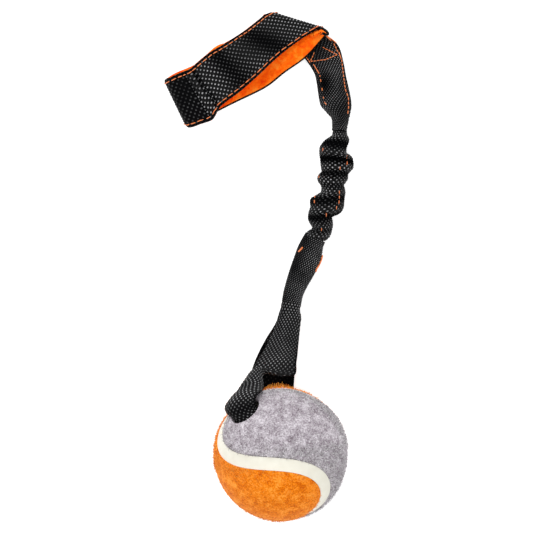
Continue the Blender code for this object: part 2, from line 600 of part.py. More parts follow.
shape = bmesh.new()
bmesh.ops.create_grid(shape, x_segments=56, y_segments=1, size=1.0)
for vert in shape.verts:
    phase = np.array(math.pi * (vert.co.x + 1))
    spot = beside_seam(phase, np.array(vert.co.y * SEAM_WIDTH / 2))
    vert.co = Vector(BALL_SET @ spot * BALL_RADIUS)
bmesh.ops.remove_doubles(shape, verts=shape.verts, dist=GAP / 10)
seam = finish_ball_piece("ball_seam", shape, BALL_RADIUS, SEAM_THICKNESS, (0.84, 0.82, 0.72), 0.9)
cut(seam, bore_cutter)

# Joint frames: each moving group hangs from an empty on its joint's axis.
FOLD_AXIS_LEVEL = (FRONT_LEVEL + FAR_LEVEL) / 2
fold_middle = Vector(handle.low[-1] + handle.high[-1]) / 2
fold_middle.z = FOLD_AXIS_LEVEL
HINGE_SHARE = 0.62
hinge_row = upper_neck.at(HINGE_SHARE, 0.0)
JOINTS = {
    "handle_fold": (fold_middle, ("handle_",)),
    "bungee_stretch": (neck_points[0], ("foot_",)),
    "ball_loop_bend": (Vector((hinge_row[0], hinge_row[1], NECK_CENTRE)), ("ball_loop_",)),
    "ball_spin": (BALL_PLACE, ("ball_core", "ball_felt", "ball_seam")),
}
for name, (spot, starts) in JOINTS.items():
    empty = bpy.data.objects.new(name + "_frame", None)
    empty.location = spot
    empty.empty_display_size = BALL_RADIUS / 2
    toy.objects.link(empty)
    bpy.context.view_layer.update()
    for piece, obj in PIECES.items():
        if piece.startswith(starts):
            obj.parent = empty
            obj.matrix_parent_inverse = empty.matrix_world.inverted()
            if obj.type == "MESH" and obj.location.length > 0:
                obj.matrix_parent_inverse = empty.matrix_world.inverted()
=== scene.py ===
import math
import random

import bmesh
import bpy
import numpy as np
from mathutils import Matrix, Vector, noise


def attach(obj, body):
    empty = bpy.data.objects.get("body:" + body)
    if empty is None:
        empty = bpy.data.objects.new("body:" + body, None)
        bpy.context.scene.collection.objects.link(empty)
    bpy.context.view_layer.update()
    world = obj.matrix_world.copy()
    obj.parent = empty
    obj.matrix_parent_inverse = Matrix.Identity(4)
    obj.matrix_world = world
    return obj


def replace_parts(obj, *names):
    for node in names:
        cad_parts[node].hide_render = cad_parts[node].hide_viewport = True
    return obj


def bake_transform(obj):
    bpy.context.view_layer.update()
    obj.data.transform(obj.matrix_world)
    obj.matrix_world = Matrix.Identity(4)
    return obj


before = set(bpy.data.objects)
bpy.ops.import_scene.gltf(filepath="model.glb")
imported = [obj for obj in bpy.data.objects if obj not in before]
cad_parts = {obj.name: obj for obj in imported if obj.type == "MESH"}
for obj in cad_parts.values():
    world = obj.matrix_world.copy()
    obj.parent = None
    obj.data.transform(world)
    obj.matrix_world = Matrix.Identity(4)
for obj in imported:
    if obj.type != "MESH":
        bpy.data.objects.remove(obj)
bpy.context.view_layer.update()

scene = bpy.context.scene

# Table, light and camera. The toy lies on a pale board under broad, soft overhead light, and is
# photographed from straight above with a long lens, so it shows almost without perspective.
# A pixel of the photograph in metres, and the toy's middle on it.
TOY_LENGTH = 0.2475
PIXEL = TOY_LENGTH / 510.3
MIDDLE_X, MIDDLE_Y = 258.8, 265.9


def plan(x, y, height=0.0):
    """A place on the toy from its place in the photograph, in pixels, at a height in metres."""
    return Vector(((x - MIDDLE_X) * PIXEL, (MIDDLE_Y - y) * PIXEL, height))


def from_hex(code):
    """The linear colour of an sRGB hex value."""
    parts = [int(code[k:k + 2], 16) / 255 for k in (1, 3, 5)]
    return (*[c / 12.92 if c <= 0.04045 else ((c + 0.055) / 1.055) ** 2.4 for c in parts], 1.0)


def add_node(tree, kind, settings=None, links=None):
    """Add a node with its options and values; a link that names a node takes that node's first output."""
    made = tree.nodes.new("ShaderNode" + kind)
    for name, value in (settings or {}).items():
        if isinstance(name, str) and hasattr(made, name):
            setattr(made, name, value)
        else:
            made.inputs[name].default_value = value
    for name, source in (links or {}).items():
        tree.links.new(source.outputs[0] if isinstance(source, bpy.types.Node) else source, made.inputs[name])
    return made


def start_material(name, values):
    """A new material with its whole-surface values; gives its tree and shader too."""
    made = bpy.data.materials.new(name)
    made.use_nodes = True
    shader = made.node_tree.nodes["Principled BSDF"]
    for socket, value in values.items():
        shader.inputs[socket].default_value = value
    return made, made.node_tree, shader


board_shape = bmesh.new()
bmesh.ops.create_grid(board_shape, x_segments=2, y_segments=2, size=3.0)
board_mesh = bpy.data.meshes.new("table_board")
board_shape.to_mesh(board_mesh)
board_shape.free()
table_board = bpy.data.objects.new("table_board", board_mesh)
scene.collection.objects.link(table_board)
# White acrylic board lit softly from below: nearly white, matt, so shadows on it stay faint.
board_mesh.materials.append(start_material("lit_acrylic_board", {
    "Base Color": from_hex("#E4E4E4"), "Roughness": 0.95, "Specular IOR Level": 0.0,
    "Emission Color": (1.0, 1.0, 1.0, 1.0), "Emission Strength": 0.60})[0])

scene.view_settings.view_transform = "Standard"
scene.view_settings.look = "None"
studio = bpy.data.worlds.new("studio")
studio.use_nodes = True
tree = studio.node_tree
way = add_node(tree, "TexCoord")
parts = add_node(tree, "SeparateXYZ", links={0: way.outputs["Generated"]})
overhead = add_node(tree, "MapRange", {"From Min": 0.45, "From Max": 1.0, "To Min": 0.40, "To Max": 1.55},
                    {0: parts.outputs["Z"]})
tree.nodes["Background"].inputs["Color"].default_value = (1.0, 1.0, 1.0, 1.0)
tree.links.new(overhead.outputs[0], tree.nodes["Background"].inputs["Strength"])
scene.world = studio
SOFTBOXES = (("key_softbox", (-0.60, 0.90, 1.30), 0.8, 11.0), ("fill_softbox", (0.90, -0.60, 1.30), 1.1, 3.0))
for name, spot, width, power in SOFTBOXES:
    lamp = bpy.data.lights.new(name, "AREA")
    lamp.shape = "SQUARE"
    lamp.size = width
    lamp.energy = power
    holder = bpy.data.objects.new(name, lamp)
    holder.location = spot
    holder.rotation_euler = (-Vector(spot)).to_track_quat("-Z", "Y").to_euler()
    scene.collection.objects.link(holder)

CAMERA_HEIGHT = 6.0
TOY_MID_HEIGHT = 0.018
lens = bpy.data.cameras.new("camera")
lens.sensor_width = 36.0
lens.sensor_fit = "HORIZONTAL"
lens.lens = 36.0 * (CAMERA_HEIGHT - TOY_MID_HEIGHT) / (533 * PIXEL)
lens.clip_end = 20.0
camera = bpy.data.objects.new("camera", lens)
camera.location = plan(266.5, 266.5, CAMERA_HEIGHT)
scene.collection.objects.link(camera)
scene.camera = camera

# Hand loop. One band of 25 mm black webbing, woven coarse so its yarns stand up as crowns. From the
# fold it runs down the near side, rolls over at the far left end and comes back under itself.
WEBBING_WIDTH = 0.0250
WEBBING_THICKNESS = 0.0016
LINING_THICKNESS = 0.0010
GAP = 0.0003
LINING_GAP = 0.0006
FLOOR_GAP = 0.0001
BACK_LEVEL = FLOOR_GAP + WEBBING_THICKNESS / 2
LAYER_STEP = WEBBING_THICKNESS + GAP
FRONT_LEVEL = BACK_LEVEL + LAYER_STEP
FAR_LEVEL = FRONT_LEVEL + LAYER_STEP + GAP
LINING_STEP = WEBBING_THICKNESS / 2 + LINING_GAP + LINING_THICKNESS / 2
NEAR_LEVEL = FAR_LEVEL + LINING_STEP + LINING_THICKNESS + GAP + LINING_STEP
HANDLE_RISE = 0.0140
THREAD_PITCH = 0.00130
CROWN_HEIGHT = 0.00026
SELVEDGE = 0.0009


def unit(rows):
    return rows / np.maximum(np.linalg.norm(rows, axis=-1, keepdims=True), 1e-12)


def eased(rows, steps, where, steady=False):
    """Values of a smooth curve through the rows, spaced by the steps; a steady one never overshoots."""
    knots = np.concatenate([[0.0], np.cumsum(steps)])
    knots = knots / knots[-1]
    slope = np.diff(rows, axis=0) / np.diff(knots)[:, None]
    before, after = slope[:-1], slope[1:]
    left, right = np.diff(knots)[:-1, None], np.diff(knots)[1:, None]
    inner = (before * right + after * left) / (left + right)
    if steady:
        same = before * after > 0
        inner = np.where(same, 2 * before * after / np.where(same, before + after, 1), 0.0)
    tangents = np.vstack([slope[:1], inner, slope[-1:]])
    where = np.clip(np.asarray(where, float), 0.0, 1.0)
    cell = np.clip(np.searchsorted(knots, where, side="right") - 1, 0, len(rows) - 2)
    span = (knots[cell + 1] - knots[cell])[..., None]
    part = (where[..., None] - knots[cell][..., None]) / span
    low, high = rows[cell], rows[cell + 1]
    return (low * (2 * part**3 - 3 * part**2 + 1) + high * (3 * part**2 - 2 * part**3)
            + tangents[cell] * span * (part**3 - 2 * part**2 + part)
            + tangents[cell + 1] * span * (part**3 - part**2))


class StrapForm:
    """How a strap lies: stations of its two edges, its middle's bulge and its outward way."""

    def __init__(self, stations, steady=False, swell=None, shade_plus_selvedge=None):
        self.steady, self.swell, self.shade_plus_selvedge = steady, swell, shade_plus_selvedge
        self.low = np.array([row[0][:] for row in stations], float)
        self.high = np.array([row[1][:] for row in stations], float)
        bulge = np.array([[row[2]] for row in stations], float)
        centres = (self.low + self.high) / 2
        hops = unit(np.diff(centres, axis=0))
        travel = np.vstack([hops[:1], hops[:-1] + hops[1:], hops[-1:]])
        outs = unit(np.cross(unit(travel), unit(self.high - self.low)))
        for index, row in enumerate(stations):
            if len(row) == 4:
                outs[index] = row[3][:]
        middles = centres + outs * bulge
        self.rows = np.hstack([middles, self.high - self.low, bulge, outs])
        self.steps = np.linalg.norm(np.diff(middles, axis=0), axis=1)
        self.length = self.steps.sum()
        self.knots = np.concatenate([[0.0], np.cumsum(self.steps)]) / self.length

    def bare(self, along, across):
        row = eased(self.rows, self.steps, along, self.steady)
        middle, chord, bulge, out = row[..., :3], row[..., 3:6], row[..., 6:7], row[..., 7:]
        half = np.linalg.norm(chord, axis=-1, keepdims=True) / 2
        side = chord / half / 2
        out = unit(out - side * np.sum(out * side, axis=-1, keepdims=True))
        bulge = np.where(np.abs(bulge) < half / 500, half / 500, bulge)
        angle = 2 * np.arctan(bulge / half)
        radius = half / np.sin(angle)
        swing = 2 * across[..., None] * angle
        spot = middle + side * radius * np.sin(swing) + out * radius * (np.cos(swing) - 1)
        if self.swell:
            spot = spot + out * self.swell(along, across)[..., None]
        return spot

    def grid(self, along, across):
        """Places and facings of a whole grid of the face, and how far along its own yarn each place lies."""
        face = self.bare(along[:, None], across[None, :])
        facing = unit(np.cross(unit(np.gradient(face, axis=0)), unit(np.gradient(face, axis=1))))
        hops = np.linalg.norm(np.diff(face, axis=0), axis=2)
        return face, facing, np.vstack([np.zeros((1, len(across))), np.cumsum(hops, axis=0)])

    def normal(self, along, across):
        ahead, behind = np.minimum(along + 1 / 4096, 1.0), np.maximum(along - 1 / 4096, 0.0)
        right, left = np.minimum(across + 1 / 512, 0.5), np.maximum(across - 1 / 512, -0.5)
        forth = self.bare(ahead, across) - self.bare(behind, across)
        over = self.bare(along, right) - self.bare(along, left)
        return unit(np.cross(unit(forth), unit(over)))

    def at(self, along, across, lift=0.0):
        along, across = np.broadcast_arrays(np.asarray(along, float), np.asarray(across, float))
        lift = np.broadcast_to(np.asarray(lift, float), along.shape)
        return self.bare(along, across) + self.normal(along, across) * lift[..., None]


def add_second_skin(shape, move):
    """Close a face into a thin solid: a copy of it, each vertex moved, joined to it along the rims."""
    grown = bmesh.ops.extrude_face_region(shape, geom=shape.faces[:], use_keep_orig=True)
    for part in grown["geom"]:
        if isinstance(part, bmesh.types.BMVert):
            part.co = move(part.co)
    bmesh.ops.recalc_face_normals(shape, faces=shape.faces)


def strip_with_two_faces(cells):
    """A flat strip with an upper and a lower face; gives the shape and each vertex's place on the strip."""
    shape = bmesh.new()
    bmesh.ops.create_grid(shape, x_segments=cells[0], y_segments=cells[1], size=1.0)
    add_second_skin(shape, lambda place: (place.x, place.y, -1.0))
    places = np.array([vert.co[:] for vert in shape.verts])
    return shape, (places[:, 0] + 1) / 2, places[:, 1] / 2, np.where(places[:, 2] < -0.5, -1.0, 1.0)


def place_piece(name, mesh, material, body=None):
    """Put a mesh in the scene as a piece; body is where it moves with one body alone."""
    mesh.materials.append(material)
    piece = bpy.data.objects.new(name, mesh)
    scene.collection.objects.link(piece)
    if body:
        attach(piece, body)
    return piece


def finish_piece(name, shape, spots, material, body=None, threads=None, around=None):
    """Make the piece from its shape and its vertices' places, with its thread map and material.

    On a tube, around is how many threads go round it; the map goes on across the line where it closes.
    """
    mesh = bpy.data.meshes.new(name)
    shape.to_mesh(mesh)
    shape.free()
    if spots is not None:
        mesh.vertices.foreach_set("co", np.asarray(spots, np.float32).ravel())
    if threads is not None:
        corners = np.empty(len(mesh.loops), np.int32)
        mesh.loops.foreach_get("vertex_index", corners)
        at_corners = np.asarray(threads, np.float32)[corners].reshape(-1, 4, 2)
        if around:
            highest = at_corners[:, :, 1].max(axis=1, keepdims=True)
            at_corners[:, :, 1] += np.where(highest - at_corners[:, :, 1] > around / 2, around, 0)
        layer = mesh.uv_layers.new(name="threads")
        layer.uv.foreach_set("vector", at_corners.ravel())
    mesh.update()
    mesh.shade_smooth()
    mesh.set_sharp_from_angle(angle=math.radians(75))
    return place_piece(name, mesh, material, body)


def crown_relief(u, v, height):
    """Plain weave: each yarn crosses over and under, so crowns stand on every second crossing."""
    crossing = np.sin(math.pi * u) * np.sin(math.pi * v)
    rise = np.abs(crossing) ** 0.7
    return height * np.where(crossing > 0, rise, -0.4 * rise)


def record_shade_and_selvedge(piece, shade_plus_selvedge):
    """Keep on the webbing how far each place's grey crowns are darkened: painted shade, and the dark selvedges."""
    piece.data.attributes.new("painted_shade_and_selvedge", "FLOAT", "POINT").data.foreach_set("value", np.asarray(shade_plus_selvedge, np.float32))


def weave_strap(name, form, body=None, grain=4, pitch=THREAD_PITCH, square_at=None, first_thread=None,
                count_down=False):
    """A woven strap laid on its form: crowns on both faces and thin rounded selvedges.

    Where square_at is given, the cross yarns lie square to the strap at that share of its length and each
    long yarn keeps its own length from there; first_thread carries on the count of a strap that it joins.
    """
    cells = (max(8, round(form.length / pitch * grain)), max(8, round(WEBBING_WIDTH / pitch * grain)))
    shape, along, across, side = strip_with_two_faces(cells)
    rows, columns = np.linspace(0, 1, cells[0] + 1), np.linspace(-0.5, 0.5, cells[1] + 1)
    face, facing, yarn_length = form.grid(rows, columns)
    if square_at is None and first_thread is None:
        yarn_length = np.repeat(rows[:, None] * form.length, len(columns), axis=1)
    if square_at is not None:
        yarn_length = yarn_length - yarn_length[round(square_at * cells[0])] + square_at * form.length
    count = yarn_length / pitch * (-1 if count_down else 1)
    if first_thread is not None:
        count = count + np.interp(columns, np.linspace(-0.5, 0.5, len(first_thread)), first_thread)
    row, column = np.rint(along * cells[0]).astype(int), np.rint((across + 0.5) * cells[1]).astype(int)
    u, v = count[row, column], across * WEBBING_WIDTH / pitch
    relief = crown_relief(u, v * side, CROWN_HEIGHT)
    rim = np.clip((0.5 - np.abs(across)) * WEBBING_WIDTH / SELVEDGE, 0.0, 1.0)
    half = (WEBBING_THICKNESS / 2 - CROWN_HEIGHT) * np.sqrt(1 - 0.85 * (1 - rim) ** 2)
    spots = face[row, column] + facing[row, column] * (side * (half + relief * rim))[:, None]
    piece = finish_piece(name, shape, spots, woven_polypropylene, body, np.stack([u, v], axis=1))
    # The selvedges are dark in themselves; the form's map added to them is painted shade.
    selvedge = np.clip((np.abs(across) * 2 - 0.86) / 0.05, 0, 1) * 0.8
    shade_plus_selvedge = np.maximum(selvedge, 0 if form.shade_plus_selvedge is None else form.shade_plus_selvedge(along, across))
    record_shade_and_selvedge(piece, shade_plus_selvedge)
    return piece, count[0], count[-1]


# Woven polypropylene: coarse spun yarn in plain weave, 1.3 mm a thread. It gives the eye matt black with
# grey crowns in staggered rows. Their grey is partly worn yarn and partly painted highlight for the glint of
# the overhead light on the crown tops; random patches of painted highlight make them paler, and the strap's
# map of painted shade and dark selvedges darkens them.
woven_polypropylene, tree, shader = start_material("woven_polypropylene", {"Roughness": 0.5})
cloth = add_node(tree, "TexCoord")
pair = add_node(tree, "SeparateXYZ", links={0: cloth.outputs["UV"]})
turns = [add_node(tree, "Math", {"operation": "MULTIPLY", 1: math.pi}, {0: pair.outputs[way]}) for way in "XY"]
waves = [add_node(tree, "Math", {"operation": "SINE"}, {0: turn}) for turn in turns]
crossing = add_node(tree, "Math", {"operation": "MULTIPLY"}, dict(enumerate(waves)))
fuzz = add_node(tree, "TexNoise", {"Scale": 1100.0, "Detail": 3.0}, {0: cloth.outputs["Object"]})
ragged = add_node(tree, "Math", {"operation": "MULTIPLY_ADD", 1: 0.45}, {0: fuzz, 2: crossing})
crowns = add_node(tree, "MapRange", {"From Min": 0.70, "From Max": 1.25}, {0: ragged})
# Painted highlight: this broad noise makes the crowns paler in random patches where light catches the strap.
glint_patch_noise = add_node(tree, "TexNoise", {"Scale": 70.0, "Detail": 2.0}, {0: cloth.outputs["Object"]})
glint_patches = add_node(tree, "MapRange", {"From Min": 0.35, "From Max": 0.65, "To Min": 0.30, "To Max": 1.0},
                   {0: glint_patch_noise})
# Painted shade: the strap's attribute darkens the crowns and their gleam in shaded places, and at the dark selvedges.
painted_shade_and_selvedge = add_node(tree, "Attribute", {"attribute_name": "painted_shade_and_selvedge"})
kept = add_node(tree, "Math", {"operation": "SUBTRACT", 0: 1.0}, {1: painted_shade_and_selvedge.outputs["Fac"]})
patches = add_node(tree, "Math", {"operation": "MULTIPLY"}, {0: glint_patches, 1: kept})
greyed = add_node(tree, "Math", {"operation": "MULTIPLY"}, {0: crowns, 1: patches})
# The pale crown colour is partly worn yarn and partly painted highlight for the glints on the crown tops.
yarn = add_node(tree, "Mix", {"data_type": "RGBA", 6: from_hex("#040405"), 7: from_hex("#B4B4B6")},
                {0: greyed})
tree.links.new(yarn.outputs[2], shader.inputs["Base Color"])
hairs = add_node(tree, "Math", {"operation": "MULTIPLY_ADD", 1: 0.5}, {0: fuzz, 2: crossing})
proud = add_node(tree, "Bump", {"Strength": 0.5, "Distance": 0.0002}, {"Height": hairs})
tree.links.new(proud.outputs[0], shader.inputs["Normal"])
gleam = add_node(tree, "Math", {"operation": "MULTIPLY", 1: 0.12}, {0: kept})
tree.links.new(gleam.outputs[0], shader.inputs["Specular IOR Level"])

NEAR_MID = (NEAR_LEVEL + HANDLE_RISE) / 2
FAR_MID = (FAR_LEVEL + BACK_LEVEL) / 2
ROLL_RADIUS = (HANDLE_RISE - BACK_LEVEL) / 2
NEAR_RUN = ((264.2, 14.3, 318.5, 28.6, NEAR_LEVEL), (256.5, 21, 302, 38.5, NEAR_LEVEL),
            (243, 31.3, 280, 55, NEAR_MID), (224, 43.7, 256, 77.4, NEAR_MID), (206.5, 54.5, 236.5, 94.2, HANDLE_RISE),
            (192, 67.0, 221, 106, HANDLE_RISE), (183.7, 71.2, 212.5, 119.5, HANDLE_RISE))
# The roll at the far left end: its two edges, and how far they shift down and up it, in pixels.
ROLL_AT = (176.9, 73.9, 199.1, 120)
ROLL_SAG, ROLL_LIFT = 4.6, 1.8
FAR_RUN = ((194.5, 64.5, 216, 112, BACK_LEVEL), (217, 45.5, 241, 99.5, BACK_LEVEL), (233, 41, 266, 87, BACK_LEVEL),
           (248, 30.5, 286, 71.5, FAR_MID), (258, 24.5, 306, 57.3, FAR_LEVEL), (269.3, 19.2, 326.2, 35.4, FAR_LEVEL))
ROLL_OUT = Vector((-0.905, -0.425, 0))


def level_row(x, y, far_x, far_y, height, bulge=0):
    """A station of a strap that lies level: the places of its two edges and its middle's bulge."""
    return plan(x, y, height), plan(far_x, far_y, height), bulge


hand_rows = [level_row(*row) for row in NEAR_RUN]
for step in range(7):
    turn = math.pi * step / 6
    rise = BACK_LEVEL + ROLL_RADIUS * (1 + math.cos(turn))
    out = ROLL_OUT * ROLL_RADIUS * math.sin(turn)
    sag, lift = ROLL_SAG * max(math.cos(turn), 0.0), ROLL_LIFT * max(-math.cos(turn), 0.0)
    low, high = level_row(ROLL_AT[0], ROLL_AT[1] - lift, ROLL_AT[2], ROLL_AT[3] + sag, rise)[:2]
    hand_rows.append((low + out, high + out, 0))
hand_rows += [level_row(*row) for row in FAR_RUN]
cuff_share = StrapForm(hand_rows, True).knots[5:7]
CREASE_AFTER = 0.007


def near_wave(along, across):
    """How far down the near run a place lies, and its turn in the soft waves there."""
    near_run = np.clip(along / cuff_share[0], 0, 1)
    return near_run, 2 * math.pi * (near_run * 2.4 - 0.24 + across * 0.12)


def hand_swell(along, across):
    """Soft waves down the near run, a sharp crease where the end cuff starts, and a raised ridge by it."""
    near_run, turn = near_wave(along, across)
    wave = 0.0009 * np.cos(turn) * np.sin(math.pi * near_run) ** 0.5
    first = -0.0013 * np.exp(-((along - cuff_share[0] - CREASE_AFTER) / 0.0055) ** 2)
    second = -0.0009 * np.exp(-((along - cuff_share[1] - 0.004) / 0.005) ** 2)
    ridge = 0.0006 * np.exp(-((along - cuff_share.mean()) / 0.008) ** 2)
    return np.where(along < cuff_share[0], wave, 0.0) + first + second + ridge


def hand_light_and_shade(along, across):
    """Painted light and shade: crowns stay pale on the wave crests and the ridge, where light falls, and go dark in
    the wave hollows, by the first crease and on the end roll, in shade.
    """
    near_run, turn = near_wave(along, across)
    wave_shade = 0.85 * (0.5 - 0.5 * np.cos(turn)) * np.clip((near_run - 0.12) / 0.1, 0, 1)
    rolled = np.clip((along - cuff_share[1] - 0.004) / 0.006, 0, 1) * 0.78
    by_crease = 0.8 * np.exp(-((along - cuff_share[0] - CREASE_AFTER) / 0.007) ** 2)
    return np.maximum(np.where(along < cuff_share[0], wave_shade, 0.0), np.maximum(rolled, by_crease))


hand_form = StrapForm(hand_rows, True, hand_swell, hand_light_and_shade)
hand_band, near_threads, far_threads = weave_strap("hand_loop_band", hand_form, "hand_loop",
                                                   square_at=cuff_share[1])
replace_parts(hand_band, "handle_webbing")

# Fleece lining. A strip of brushed orange polyester fleece inside the hand loop, a little narrower
# than the webbing and sewn to it along both edges; it shows as a crescent under the near run.


def napped_cloth(name, values, fine, broad_share, shades, nap):
    """Brushed or needled cloth: a fine and a broad mottle in three shades, each with its stop, under a nap."""
    made, tree, shader = start_material(name, {"Roughness": 0.95, "Sheen Roughness": 0.5, **values})
    cloth = add_node(tree, "TexCoord").outputs["Object"]
    mottle = add_node(tree, "TexNoise", {**fine, "Roughness": 0.7}, {0: cloth})
    broad = add_node(tree, "TexNoise", {"Scale": 240.0, "Detail": 5.0}, {0: cloth})
    dim = add_node(tree, "Math", {"operation": "MULTIPLY", 1: broad_share}, {0: broad})
    both = add_node(tree, "Math", {"operation": "MULTIPLY_ADD", 1: 1 - broad_share}, {0: mottle, 2: dim})
    ramp = add_node(tree, "ValToRGB", links={0: both})
    ramp.color_ramp.elements.new(0.5)
    for stop, (place, shade) in zip(ramp.color_ramp.elements, shades):
        stop.position, stop.color = place, from_hex(shade)
    tree.links.new(ramp.outputs[0], shader.inputs["Base Color"])
    hairs = add_node(tree, "TexNoise", {"Scale": nap[0], "Detail": 4.0}, {0: cloth})
    raised = add_node(tree, "Bump", {"Strength": nap[1], "Distance": 0.0003}, {"Height": hairs})
    tree.links.new(raised.outputs[0], shader.inputs["Normal"])
    return made


# Brushed polyester: matt, soft and mottled at random from deep red-orange to pale orange; the mottle is partly the
# fleece's own uneven tone and partly painted shade and highlight, the deeper red-orange standing for the hollows of
# its nap.
brushed_fleece = napped_cloth(
    "brushed_fleece", {"Specular IOR Level": 0.1, "Sheen Weight": 0.3, "Sheen Tint": from_hex("#FFB060")},
    {"Scale": 210.0, "Detail": 6.0}, 0.0, ((0.28, "#DE2F00"), (0.5, "#FF6A04"), (0.76, "#FFA436")), (1500.0, 0.5))
cells = (420, 64)
shape, along, across, side = strip_with_two_faces(cells)
rows, columns = np.linspace(0, 1, cells[0] + 1)[:, None], np.linspace(-0.507, 0.470, cells[1] + 1)[None, :]
peeping = np.clip(1 - rows / 0.032, 0, 1)
spread = columns + 0.18 * peeping * np.clip((columns - 0.1) / 0.37, 0, 1)
turned_out = np.clip((spread - 0.5) / 0.148, 0, 1) * peeping
climbing = np.clip((spread - 0.495) / 0.03, 0, 1) * np.sqrt(peeping)
turned = np.stack([0 * spread, -3.0 * PIXEL * turned_out**2, 0.0032 * climbing], axis=-1)
face = hand_form.bare(rows, spread) + turned
facing = unit(np.cross(unit(np.gradient(face, axis=0)), unit(np.gradient(face, axis=1))))
row, column = np.rint(along * cells[0]).astype(int), np.rint((across + 0.5) * cells[1]).astype(int)
rim = np.clip((0.5 - np.abs(across)) * WEBBING_WIDTH / 0.001, 0.0, 1.0)
lumps = np.array([noise.noise(Vector((a * 70, c * 10, s))) for a, c, s in zip(along, across, side)]) * 0.0002
half = LINING_THICKNESS / 2 * np.sqrt(1 - 0.9 * (1 - rim) ** 2)
spots = face[row, column] + facing[row, column] * (side * half + lumps - LINING_STEP)[:, None]
lining = finish_piece("fleece_lining", shape, spots, brushed_fleece, "hand_loop")
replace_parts(lining, "handle_lining")

# Stitch rows of the hand loop. Orange polyester thread, lock stitched through webbing and fleece, 3.4 mm
# from one stitch to the next; each stitch stands on the webbing and dives in at both ends.
THREAD_RADIUS = 0.00022


def two_tone(name, values, spots, dark, pale, raised=None):
    """Two shades mixed by a noise of that scale and detail; raised is a bump's noise and its strength."""
    made, tree, shader = start_material(name, values)
    cloth = add_node(tree, "TexCoord").outputs["Object"]
    noisy = add_node(tree, "TexNoise", {"Scale": spots[0], "Detail": spots[1]}, {0: cloth})
    tone = add_node(tree, "Mix", {"data_type": "RGBA", 6: from_hex(dark), 7: from_hex(pale)}, {0: noisy})
    tree.links.new(tone.outputs[2], shader.inputs["Base Color"])
    if raised:
        pits = add_node(tree, "TexNoise", {"Scale": raised[0], "Detail": raised[1]}, {0: cloth})
        bump = add_node(tree, "Bump", {"Strength": raised[2], "Distance": 0.0002}, {"Height": pits})
        tree.links.new(bump.outputs[0], shader.inputs["Normal"])
    return made


# Twisted filament thread: satin, mottled finely between red-orange and bright orange; the bright shade is painted
# highlight for its lit crowns and the red-orange painted shade for the gaps between the plies.
twisted_thread = two_tone("twisted_polyester_thread", {"Roughness": 0.5, "Sheen Weight": 0.2}, (900.0, 2.0),
                          "#C94A10", "#FF9A52")


def mesh_from_lines(name, lines, radius, sides=2, taper=None):
    """One mesh of thin round cords, one cord for each line of points."""
    curve = bpy.data.curves.new(name, "CURVE")
    curve.dimensions = "3D"
    curve.bevel_depth = radius
    curve.bevel_resolution = sides
    curve.use_fill_caps = True
    for line in lines:
        spline = curve.splines.new("POLY")
        spline.points.add(len(line) - 1)
        flat = np.ones((len(line), 4))
        flat[:, :3] = line
        spline.points.foreach_set("co", flat.ravel())
        if taper:
            spline.points.foreach_set("radius", taper)
    holder = bpy.data.objects.new(name + "_lines", curve)
    scene.collection.objects.link(holder)
    bpy.context.view_layer.update()
    mesh = bpy.data.meshes.new_from_object(holder.evaluated_get(bpy.context.evaluated_depsgraph_get()))
    bpy.data.objects.remove(holder, do_unlink=True)
    mesh.name = name
    mesh.materials.clear()
    return mesh


def sew(name, stitches, body=None, radius=THREAD_RADIUS):
    """Make stitches, each a line of points, into one piece of orange thread."""
    mesh = mesh_from_lines(name, stitches, radius)
    mesh.shade_smooth()
    return place_piece(name, mesh, twisted_thread, body)


STITCH, REST = 0.0023, 0.0011
ARCH = np.array([0.0, 0.15, 0.5, 0.85, 1.0])
SEWN_AT = 0.435


def row_of_stitches(form, start, stop, across, face=1.0, seed=1):
    """Stitches in a row along a strap, from one share of its length to another, none of them in the table.

    Each comes up at one hole, stands on the face and dives in at the next, leaning a little to one side.
    """
    chance = random.Random(seed)
    made, spot = [], start * form.length
    lift = WEBBING_THICKNESS / 2 + np.array([-0.0004, 0.00012, 0.00028, 0.00012, -0.0004])
    while spot + STITCH < stop * form.length:
        lean = chance.uniform(-0.006, 0.006)
        line = form.at((spot + STITCH * ARCH) / form.length, across + lean * (ARCH - 0.5), face * lift)
        line[:, 2] = np.maximum(line[:, 2], THREAD_RADIUS + FLOOR_GAP / 2)
        made.append(line)
        spot += STITCH + REST
    return made


for name, node, across, seed in (("hand_stitches_upper", "handle_thread_upper", -SEWN_AT, 3),
                                 ("hand_stitches_lower", "handle_thread_lower", SEWN_AT, 4)):
    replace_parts(sew(name, row_of_stitches(hand_form, 0.0, 0.62, across, seed=seed), "hand_loop"), node)

# Head. The same band goes on past the fold as two layers sewn flat, a front and a back one, that
# close into a sleeve and narrow to the neck where the elastic starts.
NECK_CENTRE = 0.0062
# Both edges, and how far the two layers are closed into a tube there.
HEAD_LAYERS = ((269, 18.7, 327, 35.2, 0.0), (284, 36, 337.5, 43.5, 0.0), (306, 59.5, 343.8, 62, 0.0),
               (316, 77, 347.0, 80.5, 0.35), (319.3, 97, 350.5, 98, 0.55), (321, 104.3, 351, 105, 0.66),
               (327, 111.2, 349.5, 113, 0.80), (333, 118.5, 347.8, 119.5, 0.92), (333.5, 130, 345.5, 130, 1.0))
FINE_PITCH = 0.00092
front_rows, back_rows = [], []
for row in HEAD_LAYERS:
    tube = row[4]
    bulge = (plan(*row[2:4]) - plan(*row[0:2])).length / 2 * tube
    front_edge = FRONT_LEVEL + (NECK_CENTRE - FRONT_LEVEL) * tube
    back_edge = BACK_LEVEL + bulge if tube < 0.7 else NECK_CENTRE * tube
    back_edge = min(back_edge, front_edge - LAYER_STEP)
    front_rows.append(level_row(*row[:4], front_edge, bulge))
    back_rows.append(level_row(*row[:4], back_edge, -min(bulge, back_edge - BACK_LEVEL)))


def head_swell(along, across):
    """Soft lengthwise folds where the two layers close round the elastic."""
    closing = np.clip((along - 0.45) / 0.3, 0, 1)
    return closing * 0.0006 * np.sin(along * 26 + across * 5) * np.cos(math.pi * across)


